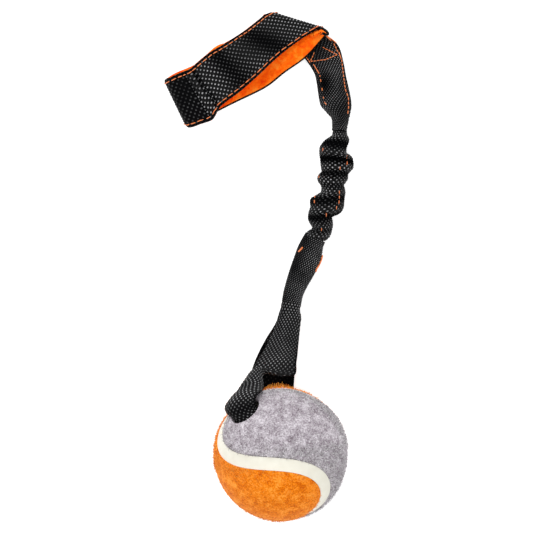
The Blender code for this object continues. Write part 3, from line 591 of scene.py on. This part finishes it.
def head_painted_shade(along, across):
    """Painted shade: deep black in the hollow at the sleeve's inner side; elsewhere the crowns are dimmed in soft
    bands.
    """
    hollow = 0.98 * np.exp(-((along - 0.60) / 0.13) ** 2 - ((across + 0.24) / 0.26) ** 2)
    return np.maximum(hollow, 0.24 + 0.20 * np.sin(along * 9 + across * 4))


front_form = StrapForm(front_rows, True, head_swell, head_painted_shade)
back_form = StrapForm(back_rows, True)
head_front = weave_strap("head_front_layer", front_form, "head", pitch=FINE_PITCH, square_at=0.5)[0]
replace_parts(head_front, "head_front_webbing")
head_back = weave_strap("head_back_layer", back_form, "head", grain=3, square_at=0.5)[0]
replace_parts(head_back, "head_back_webbing")

# Diagonal fold. The webbing turns over in two bends: the inner one joins the far run to the front layer,
# the outer one joins the near run to the back layer and covers the inner one.
OUTER_OUT = (plan(7.8, -3.0) - plan(0, 0), plan(4.4, -1.6) - plan(0, 0))
INNER_OUT = (Vector((0.311, 0.950, 0)) * (FAR_LEVEL - FRONT_LEVEL) / 2,) * 2


def fold_rows(start, end, outs, fullness):
    """Half a turn from one strap's end to the other's; each selvedge goes out along its own way."""
    made = []
    for step in range(13):
        turn = math.pi * step / 12
        share, reach = (1 - math.cos(turn)) / 2, max(math.sin(turn), 0.0) ** fullness
        low, high = [one.lerp(other, share) + out * reach for one, other, out in zip(start, end, outs)]
        made.append((low, high, 0))
    return made


for name, node, start, end, outs, fullness in (
        ("fold_inner_bend", "fold_inner_webbing", hand_rows[-1], front_rows[0], INNER_OUT, 1.0),
        ("fold_outer_bend", "fold_outer_webbing", hand_rows[0], back_rows[0], OUTER_OUT, 0.6)):
    outer = node == "fold_outer_webbing"
    first_thread = near_threads if outer else far_threads
    bend_form = StrapForm(fold_rows(start[0:2], end[0:2], outs, fullness), True)
    bend = weave_strap(name, bend_form, grain=5, first_thread=first_thread, count_down=outer)[0]
    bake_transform(bend)
    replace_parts(bend, node)
over_fold = [row_of_stitches(bend_form, 0.02, 0.5, across, face=-1.0) for across in (-SEWN_AT, SEWN_AT)]
fold_stitches = sew("fold_stitches", over_fold[0] + over_fold[1])
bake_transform(fold_stitches)

# Stitching of the head. A box of zigzag stitches joins the two layers by the fold, a thick thread end
# lies beside it, and rows of stitches close both edges of the sleeve.


def over_plan(face, spot):
    """The place of a face that lies over a place of the plan."""
    return face[np.argmin(np.sum((face[:, :2] - np.array(spot[:2])) ** 2, axis=1))]


def stitch_arch(begin, end):
    """One stitch between two holes: it comes up, stands on the face and dives in again."""
    heights = np.array([(0, 0, height) for height in (-0.0004, 0.00015, 0.0003, 0.00015, -0.0004)])
    return begin + (end - begin) * ARCH[:, None] + heights


def stitches_on_plan(form, routes, stitch, rest=0.15):
    """Stitches along routes on the plan, laid on a strap's upper face; rest is the share left open after each."""
    along, across = np.meshgrid(np.linspace(0, 1, 500), np.linspace(-0.5, 0.5, 120), indexing="ij")
    face = form.at(along, across, WEBBING_THICKNESS / 2).reshape(-1, 3)
    made = []
    for begin, end in [leg for route in routes for leg in zip(route[:-1], route[1:])]:
        begin, end = plan(*begin), plan(*end)
        count = max(1, round((end - begin).length / stitch))
        for k in range(count):
            holes = [begin.lerp(end, share / count) for share in (k, k + 1 - rest)]
            made.append(stitch_arch(*[over_plan(face, hole) for hole in holes]))
    return made


BOX_ROUTES = (((323.1, 46.8), (337.2, 54.1), (325.7, 59.2), (309.7, 61.1)), ((314.2, 52.2), (310.4, 61.1)),
              ((306, 56), (310.4, 62.4)), ((334, 43.3), (338.4, 52.2)))
LOOSE_ENDS = (((325.8, 33.8), (331.8, 40.7)), ((326.8, 34.0), (333.0, 37.0)), ((332.0, 36.5), (337.0, 42.0)),
              ((327.5, 35.5), (334.5, 39.5)), ((339.0, 51.5), (341.5, 58.5)), ((313.6, 63.8), (319.5, 73.6)))
box = stitches_on_plan(front_form, BOX_ROUTES, 0.0015, 0.4) + stitches_on_plan(front_form, LOOSE_ENDS, 0.0045, 0.05)
LEFT_SEAM = ((320, 75), (320.7, 79), (323.5, 96.8), (324.7, 102), (330.7, 111.2))
RIGHT_SEAM = ((341.9, 59.5), (343.6, 74.4), (345.4, 88.8), (348.5, 97.4), (348.8, 106), (347.6, 115.2))
for name, node, stitches in (
        ("box_stitches", "box_stitch_thread", box),
        ("sleeve_stitches_left", "head_thread_left", stitches_on_plan(front_form, [LEFT_SEAM], 0.0042, 0.75)),
        ("sleeve_stitches_right", "head_thread_right", stitches_on_plan(front_form, [RIGHT_SEAM], 0.0019, 0.45))):
    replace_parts(sew(name, stitches, "head"), node)

# Ruched sleeve. A flat woven tube, twice as long as the elastic inside it, pushed up into uneven
# folds that lap over each other; its sewn edges show as ears with short bits of orange thread.
# Each fold: where its ridge lies at the left, middle and right, and how deep the valley after it is.
RUCHE_FOLDS = np.array((
    (116, 116, 117, 0.0), (126, 126, 127, 0.5), (136, 134, 136, 0.9), (149.5, 151.5, 155.5, 1.0),
    (168, 165.5, 169, 0.85), (178, 180.5, 180, 0.35), (190, 191, 190, 0.8), (210, 209, 205, 0.9),
    (224, 226.5, 225, 0.4), (233, 235, 234, 0.3), (243, 243, 243, 0.0)))
# Its outline: left and right side at stations down its length.
RUCHE_SIDES = np.array((
    (118, 335.0, 344.0), (124, 334.2, 345.4), (128, 333.5, 346.4), (131, 333.0, 346.8), (135, 332.4, 347.3),
    (137, 329.5, 348.5), (139.5, 325.5, 349.4), (142, 322.8, 349.1), (146, 320.0, 347.6), (149, 319.5, 346.7),
    (153, 319.4, 346.6), (155, 319.5, 350.4), (158, 319.7, 353.0), (163, 320.4, 354.2), (168, 321.3, 353.4),
    (171.5, 321.7, 350.4), (174, 318.9, 348.5), (176, 317.7, 348.4), (179, 317.4, 348.0), (182, 318.5, 345.9),
    (185, 321.0, 343.8), (188, 321.8, 344.8), (192, 321.2, 345.5), (195, 316.2, 345.4), (198, 310.8, 345.0),
    (201, 309.7, 344.6), (207, 310.5, 343.8), (210, 309.4, 342.9), (213, 308.4, 340.8), (215, 308.0, 336.4),
    (217, 307.8, 332.0), (220, 308.3, 332.7), (224, 310.4, 333.0), (227, 312.6, 332.8), (229, 311.8, 332.3),
    (231, 307.9, 331.9), (234, 305.9, 331.0), (237, 304.9, 329.6), (240, 305.2, 326.4), (244, 309.0, 320.0)))
# How far the folds stand above the sleeve's middle down its length, a crease's, and the most below it.
FOLD_HEIGHTS = ((118, 126, 133, 141, 226, 232, 238, 241, 244),
                (0.0020, 0.0027, 0.0042, 0.0058, 0.0058, 0.0070, 0.0070, 0.0060, 0.0040))
CREASE_HEIGHT, LOWEST_FOLD = 0.0022, 0.0058
FOLD_START, FOLD_STOP = 0.35, 9.8
SLEEVE_WALL = 0.0010
THREADS_ROUND = 40


def tube_with_two_walls(cells):
    """A tube with an outer and an inner wall; gives the shape and each vertex's place on the tube."""
    shape = bmesh.new()
    bmesh.ops.create_grid(shape, x_segments=cells[0], y_segments=cells[1], size=1.0)
    for vert in shape.verts:
        angle = math.pi * (vert.co.y - 0.5)
        vert.co = (vert.co.x, math.cos(angle), math.sin(angle))
    bmesh.ops.remove_doubles(shape, verts=shape.verts, dist=0.0001)
    add_second_skin(shape, lambda place: (place.x, place.y * 0.5, place.z * 0.5))
    places = np.array([vert.co[:] for vert in shape.verts])
    turn = np.arctan2(places[:, 2], places[:, 1])
    turn = np.where(turn < -math.pi / 2 - 0.0001, turn + 2 * math.pi, turn)
    return shape, (places[:, 0] + 1) / 2, turn, np.where(np.hypot(places[:, 1], places[:, 2]) < 0.75, -1.0, 1.0)


def ruche_ridge(fold_at):
    """How near to a ridge a fold number is, and how deep its valley goes."""
    index = np.clip(fold_at.astype(int), 0, len(RUCHE_FOLDS) - 2)
    part = fold_at - index
    return index, part, ((1 + np.cos(2 * math.pi * part)) / 2) ** 2, RUCHE_FOLDS[index, 3]


def ruche_place(fold_at, turn):
    """The place of the sleeve's wall at a fold number and a turn round the tube (0 right, a quarter on top)."""
    index, part, ridge, depth = ruche_ridge(fold_at)
    lean = np.cos(turn)
    left, middle, right = (RUCHE_FOLDS[:, k] for k in range(3))

    def lies(fold):
        return middle[fold] + (right[fold] - left[fold]) / 2 * lean + ((right + left) / 2 - middle)[fold] * lean**2

    first, second = lies(index), lies(index + 1)
    py = first + (second - first) * (part + 0.08 * np.sin(2 * math.pi * part)) + 1.5 * np.sin(turn) * ridge
    start, stop = (np.interp(py, RUCHE_SIDES[:, 0], RUCHE_SIDES[:, k]) for k in (1, 2))
    sunk = depth * (1 - ridge)
    reach = (stop - start) / 2 * (1 - 0.03 * sunk)
    highest = np.interp(py, *FOLD_HEIGHTS)
    tall = highest - np.maximum(highest - CREASE_HEIGHT, 0.0) * sunk
    tall = np.where(np.sin(turn) > 0, tall, np.minimum(tall, LOWEST_FOLD))
    px = (start + stop) / 2 + reach * np.sign(lean) * np.abs(lean) ** 0.85
    return np.stack([(px - MIDDLE_X) * PIXEL, (MIDDLE_Y - py) * PIXEL, NECK_CENTRE + tall * np.sin(turn)], axis=-1)


stations = np.linspace(FOLD_START, FOLD_STOP, 600)
line = ruche_place(stations, np.full(600, math.pi / 2))
cloth_length = np.concatenate([[0.0], np.cumsum(np.linalg.norm(np.diff(line, axis=0), axis=1))])
shape, along, turn, side = tube_with_two_walls((300, 150))
fold_at = FOLD_START + (FOLD_STOP - FOLD_START) * along
forth = ruche_place(fold_at + 0.01, turn) - ruche_place(fold_at - 0.01, turn)
over = ruche_place(fold_at, turn + 0.02) - ruche_place(fold_at, turn - 0.02)
outward = unit(np.cross(unit(over), unit(forth)))
u = np.interp(fold_at, stations, cloth_length) / THREAD_PITCH
v = turn * THREADS_ROUND / (2 * math.pi)
lift = np.where(side > 0, crown_relief(u, v, CROWN_HEIGHT * 0.9), -SLEEVE_WALL)
spots = ruche_place(fold_at, turn) + outward * lift[:, None]
ruched_sleeve = finish_piece("ruched_sleeve_cloth", shape, spots, woven_polypropylene,
                             threads=np.stack([u, v], axis=1), around=THREADS_ROUND)
# Painted shade: the crowns go dark in the valleys between the folds, the more so the deeper the valley, and stay pale
# on the ridges.
ridge, depth = ruche_ridge(fold_at)[2:]
record_shade_and_selvedge(ruched_sleeve, np.clip(1.1 - 1.3 * ridge, 0.1, 0.97) * (0.35 + 0.65 * depth))
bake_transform(ruched_sleeve)
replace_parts(ruched_sleeve, "ruched_sleeve")
RUCHE_STITCHES = ((322.9, 149.5), (347.0, 156.6), (347.3, 162.9), (340.2, 168.2), (319.0, 176.3), (339.3, 192.3),
                  (339.3, 197), (339.0, 202), (314.8, 196), (314.2, 201.5), (336.5, 207.5), (326.4, 214.6),
                  (321.6, 229.3))
on_top = spots[(side > 0) & (np.sin(turn) > 0.1)]
ruche_stitches = sew("ruche_stitches", [
    stitch_arch(*[over_plan(on_top, plan(x, y + way)) for way in (-1.6, 1.6)]) for x, y in RUCHE_STITCHES])
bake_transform(ruche_stitches)

# Elastic core. Round white shock cord, natural rubber strands in a braided cover; it runs from the
# neck of the head to the foot inside the sleeve and is sewn in at both ends.
# Braided polyester over rubber: off-white, satin, with a fine diamond braid about 1 mm a stitch.
braided_elastic = two_tone("braided_shock_cord", {"Roughness": 0.6}, (1000.0, 2.0), "#C9C2B4", "#EFEAE0")
CORE_ROUTE = ((339.6, 122), (337.5, 142), (335.5, 162), (332.5, 182), (327, 202), (321.5, 220), (316, 238),
              (311.5, 254))
core_mesh = mesh_from_lines("elastic_cord", [[plan(*row, NECK_CENTRE) for row in CORE_ROUTE]], 0.0016, 4)
core_mesh.shade_smooth()
elastic_cord = place_piece("elastic_cord", core_mesh, braided_elastic)
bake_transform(elastic_cord)
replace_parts(elastic_cord, "elastic_core")

# Foot and neck. Below the elastic the webbing closes round its end as an upper and a lower half,
# tacked with thick orange thread, and runs on as the neck of the strap loop.
# Its middle, and half its width as a share of the toy's length.
NECK_ROUTE = ((315.6, 237.2, 0.0190), (312.8, 242.5, 0.0202), (310.2, 250, 0.0230), (306.6, 261, 0.0240),
              (301.8, 272, 0.0222), (297, 283, 0.0191), (293.2, 294, 0.0170), (291.5, 303, 0.0166))
NECK_EDGE_GAP = WEBBING_THICKNESS / 2 + GAP
neck_points = [plan(row[0], row[1], NECK_CENTRE) for row in NECK_ROUTE]


def wide_row(middle, sideways, half, bulge, *out):
    """A station of a strap from its middle: as far to each side, with its bulge and perhaps its outward way."""
    return (middle - sideways * half, middle + sideways * half, bulge, *out)


neck_rows = {1: [], -1: []}
for index, row in enumerate(NECK_ROUTE):
    ahead = neck_points[min(index + 1, len(neck_points) - 1)] - neck_points[max(index - 1, 0)]
    sideways = Vector((-ahead.y, ahead.x, 0)).normalized()
    half = row[2] * TOY_LENGTH
    tall = min(half, NECK_CENTRE - NECK_EDGE_GAP - BACK_LEVEL)
    for face in (1, -1):
        edge = neck_points[index] + Vector((0, 0, face * NECK_EDGE_GAP))
        neck_rows[face].append(wide_row(edge, sideways, half * face, tall))


def neck_painted_shade(along, across):
    """Its left side turns away from the light, and the rest is dim in bands."""
    return 0.14 + 0.50 * np.clip((-across - 0.05) / 0.2, 0, 1) + 0.14 * np.sin(along * 14 - across * 3)


upper_neck, lower_neck = StrapForm(neck_rows[1], shade_plus_selvedge=neck_painted_shade), StrapForm(neck_rows[-1])
for name, form, nodes in (("neck_upper_half", upper_neck, ("foot_front_webbing", "neck_front_webbing")),
                          ("neck_lower_half", lower_neck, ("foot_back_webbing", "neck_back_webbing"))):
    half_tube = weave_strap(name, form, pitch=FINE_PITCH)[0]
    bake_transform(half_tube)
    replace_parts(half_tube, *nodes)
TACK = ((298.8, 251.6), (303.4, 246.8))
EDGE_THREAD = ((323.8, 256), (322, 260.5), (319.5, 264.5), (316.8, 269), (315.8, 272))
foot_tack = sew("foot_tack", stitches_on_plan(upper_neck, (TACK, EDGE_THREAD), 0.0040), "sleeve_foot", 0.0004)
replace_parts(foot_tack, "foot_tack_thread")

# Ball. A hollow rubber ball under two dog-bone felt panels, with a strip of pale rubber cement left
# between them; a hole is bored through it for the strap.
BALL_DIAMETER = 0.0650
BALL_RADIUS = BALL_DIAMETER / 2
STRAP_GAP = 0.0006
STRAP_ORBIT = BALL_RADIUS + STRAP_GAP + WEBBING_THICKNESS / 2
BALL_PLACE = plan(280.8, 453.6, BACK_LEVEL + STRAP_ORBIT)
BORE_AXIS = Vector((-0.554, 0.679, 0.482)).normalized()
BORE_DIAMETER = 0.0160
SEAM_WIDTH = 0.0062
FELT_THICKNESS = 0.0027
SEAM_WAVE = 0.1717
first, tilt, last = [math.radians(turn) for turn in (-81.59, 108.63, 85.42)]
BALL_SET = np.array(Matrix.Rotation(first, 3, "Z") @ Matrix.Rotation(tilt, 3, "X") @ Matrix.Rotation(last, 3, "Z"))


def seam_line(phase):
    """The seam's middle line on a ball of radius 1, for a turn along it: the curve of a tennis ball."""
    broad = 1 - SEAM_WAVE
    return np.stack([broad * np.cos(phase) + SEAM_WAVE * np.cos(3 * phase),
                     broad * np.sin(phase) - SEAM_WAVE * np.sin(3 * phase),
                     2 * math.sqrt(broad * SEAM_WAVE) * np.sin(2 * phase)], axis=-1)


def beside_seam(phase, offset):
    """Directions beside the seam, by a width on the ball's face; positive is the orange panel's side."""
    line = seam_line(phase)
    travel = unit(seam_line(phase + 0.002) - seam_line(phase - 0.002))
    across = unit(np.cross(line, travel))
    angle = (offset / BALL_RADIUS)[..., None]
    return line * np.cos(angle) + across * np.sin(angle)


def panel_way(phase, reach, pole):
    """A direction on a felt panel: reach is 0 at the panel's middle and 1 at its edge."""
    rim = beside_seam(phase, np.full(phase.shape, pole * (SEAM_WIDTH / 2 + GAP)))
    middle = np.array((0.0, 0.0, pole))
    spread = np.arccos(np.clip(rim @ middle, -1, 1))[..., None]
    way = middle * np.sin((1 - reach[..., None]) * spread) + rim * np.sin(reach[..., None] * spread)
    return (way / np.sin(spread)) @ BALL_SET.T


# Moulded natural rubber: pale grey-tan, matt, finely pitted.
moulded_rubber = two_tone("moulded_rubber", {"Roughness": 0.7}, (1200.0, 3.0), "#8F887C", "#B0A898",
                          (1200.0, 3.0, 0.3))
ball_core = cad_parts["ball_core"]
ball_core.data.materials.clear()
ball_core.data.materials.append(moulded_rubber)


def skin_round_ball(cells, way_at, thickness, outer_at):
    """A skin of the ball: a ring of cells laid on the ball, bored for the strap and given its thickness.

    way_at gives the directions for shares round the ring and across it, outer_at their distance out.
    """
    shape = bmesh.new()
    bmesh.ops.create_grid(shape, x_segments=cells[0], y_segments=cells[1], size=1.0)
    places = np.array([vert.co[:] for vert in shape.verts])
    ways = way_at((places[:, 0] + 1) / 2, (places[:, 1] + 1) / 2)
    outer = outer_at((places[:, 0] + 1) / 2, (places[:, 1] + 1) / 2, ways)
    for vert, way, far in zip(shape.verts, ways, outer):
        vert.co = way * far
    bmesh.ops.remove_doubles(shape, verts=shape.verts, dist=0.00002)
    hole = BORE_DIAMETER / 2
    inside = [vert for vert in shape.verts
              if vert.co.length > 0.02 and (vert.co - vert.co.dot(BORE_AXIS) * BORE_AXIS).length < hole]
    bmesh.ops.delete(shape, geom=inside, context="VERTS")
    for vert in shape.verts:
        off = vert.co - vert.co.dot(BORE_AXIS) * BORE_AXIS
        if vert.is_boundary and off.length < hole * 1.25:
            far = vert.co.length
            vert.co = (vert.co.dot(BORE_AXIS) * BORE_AXIS + off.normalized() * hole).normalized() * far
    add_second_skin(shape, lambda place: place * (1 - thickness / BALL_RADIUS))
    bmesh.ops.translate(shape, verts=shape.verts, vec=BALL_PLACE)
    return shape


# Needled felt: matt, broadly mottled, with fine dark pits and paler fibres all over it.
FELT_SHEEN = {"Specular IOR Level": 0.05, "Sheen Weight": 0.08}
FELT_GRAIN = {"Scale": 1250.0, "Detail": 4.0}
orange_felt, grey_felt = [
    napped_cloth(name, FELT_SHEEN, FELT_GRAIN, 0.36, list(zip((0.40, 0.5, 0.60), shades)), (1600.0, 0.7))
    for name, shades in (("orange_needled_felt", ("#C85A00", "#F08000", "#FFA640")),
                         ("grey_needled_felt", ("#7C7179", "#ABA3AA", "#D6D0D6")))]


def fibre_stuff(name, dark, pale):
    """Single felt fibres, each with its own shade kept in the shade attribute."""
    made, tree, shader = start_material(name, {"Roughness": 0.9, "Specular IOR Level": 0.15})
    shade = add_node(tree, "Attribute", {"attribute_name": "shade"})
    tone = add_node(tree, "Mix", {"data_type": "RGBA", 6: from_hex(dark), 7: from_hex(pale)},
                    {0: shade.outputs["Fac"]})
    tree.links.new(tone.outputs[2], shader.inputs["Base Color"])
    return made


FELTS = (
    ("orange", 1, "ball_felt_orange", "orange_felt", orange_felt,
     fibre_stuff("orange_felt_fibre", "#CC6200", "#FFB850"), 11),
    ("grey", -1, "ball_felt_grey", "grey_felt", grey_felt,
     fibre_stuff("grey_felt_fibre", "#73696F", "#F8F6F8"), 12),
)
centre = np.array(BALL_PLACE)
bore = np.array(BORE_AXIS)
FIBRES, FELT_NAP = 9800, 0.0004
WORN_SPOT = unit(np.array((-0.04, 1.0, -0.16)))
for colour, pole, node, slot_name, stuff, fibre, seed in FELTS:

    def panel_at(share, reach):
        return panel_way(share * 2 * math.pi, reach, pole)

    def panel_outer(share, reach, ways):
        rim = np.clip((1 - reach) / 0.07, 0, 1)
        uneven = np.array([noise.noise(Vector(way * 9)) * 0.00012 + noise.noise(Vector(way * 30)) * 0.00008
                           for way in ways])
        return BALL_RADIUS - FELT_NAP - 0.0005 * (1 - rim) ** 2 + uneven * rim + (0.0003 if pole > 0 else 0.0)

    shape = skin_round_ball((336, 48), panel_at, FELT_THICKNESS - FELT_NAP, panel_outer)
    panel = finish_piece("felt_panel_" + colour, shape, None, stuff, "ball")
    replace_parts(panel, node)
    chance = np.random.default_rng(seed)
    ways = []
    while len(ways) < FIBRES:
        tries = panel_way(chance.uniform(0, 2 * math.pi, FIBRES), np.sqrt(chance.uniform(0, 1, FIBRES)), pole)
        off_axis = np.linalg.norm(np.cross(tries, bore), axis=1) * BALL_RADIUS
        ways += list(tries[off_axis > BORE_DIAMETER / 2 + 0.0006])
    ways = np.array(ways[:FIBRES])
    lay = unit(np.cross(ways, unit(chance.normal(size=(FIBRES, 3)))))
    bend = unit(np.cross(ways, lay))
    reach = chance.uniform(0.0006, 0.0013, FIBRES)[:, None]
    stand = chance.uniform(0.00003, 0.00030, FIBRES)[:, None]
    stand = stand + (chance.uniform(0, 1, FIBRES)[:, None] > 0.80) * 0.0006
    curl = chance.uniform(-0.5, 0.5, FIBRES)[:, None]
    worn = np.clip(1.2 - np.arccos(np.clip(ways @ WORN_SPOT, -1, 1)) / 0.26, 0, 1)[:, None] * (pole > 0)
    stand = stand + worn * chance.uniform(0, 1, FIBRES)[:, None] ** 2 * 0.0026
    root = centre + ways * (BALL_RADIUS - 0.0005)
    waist = root + lay * reach * 0.5 + bend * curl * reach * 0.4 + ways * (0.0003 + stand)
    tip_end = root + lay * reach + bend * curl * reach + ways * (0.0003 + stand * 0.8)
    lines = np.stack([root, waist, tip_end], axis=1)
    mesh = mesh_from_lines("felt_fibres_" + colour, lines, 0.00008, 0, (1.0, 0.9, 0.35))
    each = len(mesh.vertices) // FIBRES
    shade = mesh.attributes.new("shade", "FLOAT", "POINT")
    shade.data.foreach_set("value", np.repeat(chance.uniform(0, 1, FIBRES), each).astype(np.float32))
    place_piece("felt_fibres_" + colour, mesh, fibre, "ball")

# Seam strip. Pale rubber cement fills the gap between the felt panels a little below their face.
# Vulcanised cement: cream, matt and smooth, with slight smudges and a faint ripple.
seam_cement = two_tone("vulcanised_seam_cement", {"Roughness": 0.6}, (180.0, 4.0), "#DAD6C6", "#EDEBDF",
                       (700.0, 2.0, 0.25))
SEAM_THICKNESS, SEAM_DEPTH = 0.0026, 0.0009


def seam_at(share, reach):
    return beside_seam(share * 2 * math.pi, (reach - 0.5) * (SEAM_WIDTH + GAP)) @ BALL_SET.T


def seam_outer(share, reach, ways):
    return BALL_RADIUS - SEAM_DEPTH + 0.0003 * (2 * reach - 1) ** 2


shape = skin_round_ball((448, 12), seam_at, SEAM_THICKNESS - SEAM_DEPTH, seam_outer)
seam = finish_piece("seam_strip", shape, None, seam_cement, "ball")
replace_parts(seam, "ball_seam")

# Strap loop. The band leaves the neck in two legs: the front one climbs the ball, bunches up and goes
# in at the upper hole; it comes out below and runs back flat under the ball as the rear leg.
# Round a mouth: the turn over the lip, how far each edge lies to its side, and the bulge of the back.
FRONT_MOUTH = ((0.0, 0.0100, 0.0072, 0.0036), (30.0, 0.0116, 0.0066, 0.0044), (60.0, 0.0108, 0.0064, 0.0056),
               (90.0, 0.0065, 0.0063, 0.0066))
REAR_MOUTH = ((0.0, 0.0090, 0.0090, 0.0022), (30.0, 0.0080, 0.0080, 0.0026), (60.0, 0.0068, 0.0068, 0.0055),
              (90.0, 0.0063, 0.0063, 0.0070))
LIP_RADIUS, LIP_DEPTH, CHORD_SHIFT = 0.0045, 0.0295, 0.0010
UP = Vector((0, 0, 1))
FRONT_LIP = Vector((0.248, 0.766, -0.593))
FRONT_LIP = (FRONT_LIP - FRONT_LIP.dot(BORE_AXIS) * BORE_AXIS).normalized()
REAR_LIP = (-UP + UP.dot(BORE_AXIS) * BORE_AXIS).normalized()
neck_side = Vector(upper_neck.high[-1] - upper_neck.low[-1]).normalized()
front_side, rear_side = FRONT_LIP.cross(BORE_AXIS), REAR_LIP.cross(BORE_AXIS)
front_side = front_side if front_side.dot(neck_side) > 0 else -front_side
rear_side = rear_side if rear_side.dot(front_side) > 0 else -rear_side
# Front leg: its two edges, their heights and its bulge.
FRONT_LEG = ((279.0, 316, 300.4, 316, 0.0078, 0.0078, 0.0036), (275.8, 327, 299.7, 327.6, 0.0104, 0.0104, 0.0030),
             (266.5, 346, 298.0, 348, 0.0180, 0.0180, 0.0014), (257.0, 361.5, 296.4, 362.5, 0.0265, 0.0262, 0.0003),
             (252.2, 370.4, 294.0, 375.2, 0.0318, 0.0300, 0.0004),
             (250.0, 376.4, 264.4, 373.6, 0.0348, 0.0326, 0.0040), (240.0, 388.5, 262.3, 388, 0.0425, 0.0400, 0.0048))
# Rear leg: its middle, then height, half width and bulge as shares of the toy's length, and its turn of side.
REAR_LEG = ((269.5, 433, 0.0036, 0.0500, 0.0, 0.55), (266.5, 411, 0.0036, 0.0490, 0.0, 0.2),
            (271.0, 386, 0.0036, 0.0450, 0.0, 0.0), (275.0, 365, 0.0044, 0.0400, 0.0, 0.0),
            (281.0, 342, 0.0093, 0.0300, 0.0052, 0.0), (288, 323, 0.0175, 0.0212, 0.0125, 0.0))


def mouth_rows(end, lip, sideways, mouth):
    """Round one mouth of the bore: the strap's edges roll over the lip and its back bulges across the hole."""
    outward = BORE_AXIS * end
    made = []
    for turn, low_half, high_half, bulge in mouth:
        angle = math.radians(turn)
        out = outward * math.cos(angle) - lip * math.sin(angle)
        chord = (BALL_PLACE + lip * (CHORD_SHIFT + LIP_RADIUS * (1 - math.sin(angle)))
                 + outward * (LIP_DEPTH + LIP_RADIUS * math.cos(angle)))
        made.append((chord - sideways * low_half, chord + sideways * high_half, bulge, out))
    return made


neck_way = (neck_points[-1] - neck_points[-2]).normalized() * TOY_LENGTH
NECK_RUN_ON = (0.0, 0.0036, 0.0110)
low, high, tall = Vector(upper_neck.low[-1]), Vector(upper_neck.high[-1]), upper_neck.rows[-1, 6]
loop_rows = [(low + neck_way * share, high + neck_way * share, tall) for share in NECK_RUN_ON]
loop_rows += [(plan(*row[0:2], row[4]), plan(*row[2:4], row[5]), row[6]) for row in FRONT_LEG]
loop_rows += mouth_rows(1, FRONT_LIP, front_side, FRONT_MOUTH)
for share in (0.62, 0.2, -0.2, -0.62):
    lip = FRONT_LIP.lerp(REAR_LIP, 0.5 - share * 0.8).normalized()
    sideways = front_side.lerp(rear_side, 0.5 - share * 0.8).normalized()
    chord = BALL_PLACE + lip * CHORD_SHIFT + BORE_AXIS * BALL_RADIUS * share
    loop_rows.append(wide_row(chord, sideways, FRONT_MOUTH[-1][1], FRONT_MOUTH[-1][3], -lip))
loop_rows += mouth_rows(-1, REAR_LIP, rear_side, REAR_MOUTH)[::-1]
for turn, half, bulge in ((22.0, 0.0100, 0.0016), (34.0, 0.0114, 0.0006), (46.0, 0.0122, 0.0002)):
    angle = math.radians(turn)
    out = -BORE_AXIS * math.cos(angle) + REAR_LIP * math.sin(angle)
    loop_rows.append(wide_row(BALL_PLACE + out * STRAP_ORBIT, rear_side, half, bulge, out))
loop_rows.append(wide_row(BALL_PLACE - UP * STRAP_ORBIT, rear_side, WEBBING_WIDTH / 2, 0, -UP))
for x, y, rise, half, bulge, mix in REAR_LEG:
    sideways = neck_side.lerp(rear_side, mix).normalized()
    loop_rows.append(wide_row(plan(x, y, rise * TOY_LENGTH), sideways, half * TOY_LENGTH, bulge * TOY_LENGTH))
low, high = Vector(lower_neck.high[-1]), Vector(lower_neck.low[-1])
loop_rows += [(low + neck_way * share, high + neck_way * share, tall) for share in NECK_RUN_ON[::-1]]
loop_share = StrapForm(loop_rows).knots


def loop_painted_shade(along, across):
    """Painted shade: dim on the front leg's turned side and at the bunch, and black on the rear leg in the ball's
    shade.
    """
    leg = np.interp(along, (loop_share[3], loop_share[4], loop_share[7]), (1.0, 1.0, 0.0))
    turned = 0.5 * leg * np.clip((-across - 0.05) / 0.2, 0, 1)
    bunch = 0.80 * np.clip(1 - np.abs(along - loop_share[12]) / 0.026, 0, 1)
    shaded = 0.96 * np.clip(1 - np.abs(along - (loop_share[28] + loop_share[29]) / 2) / 0.07, 0, 0.25) * 4
    return np.maximum(np.maximum(turned, bunch), shaded)


loop_form = StrapForm(loop_rows, shade_plus_selvedge=loop_painted_shade)
ball_strap = weave_strap("ball_strap", loop_form, "strap_loop", grain=3.45)[0]
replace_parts(ball_strap, "ball_loop_webbing")
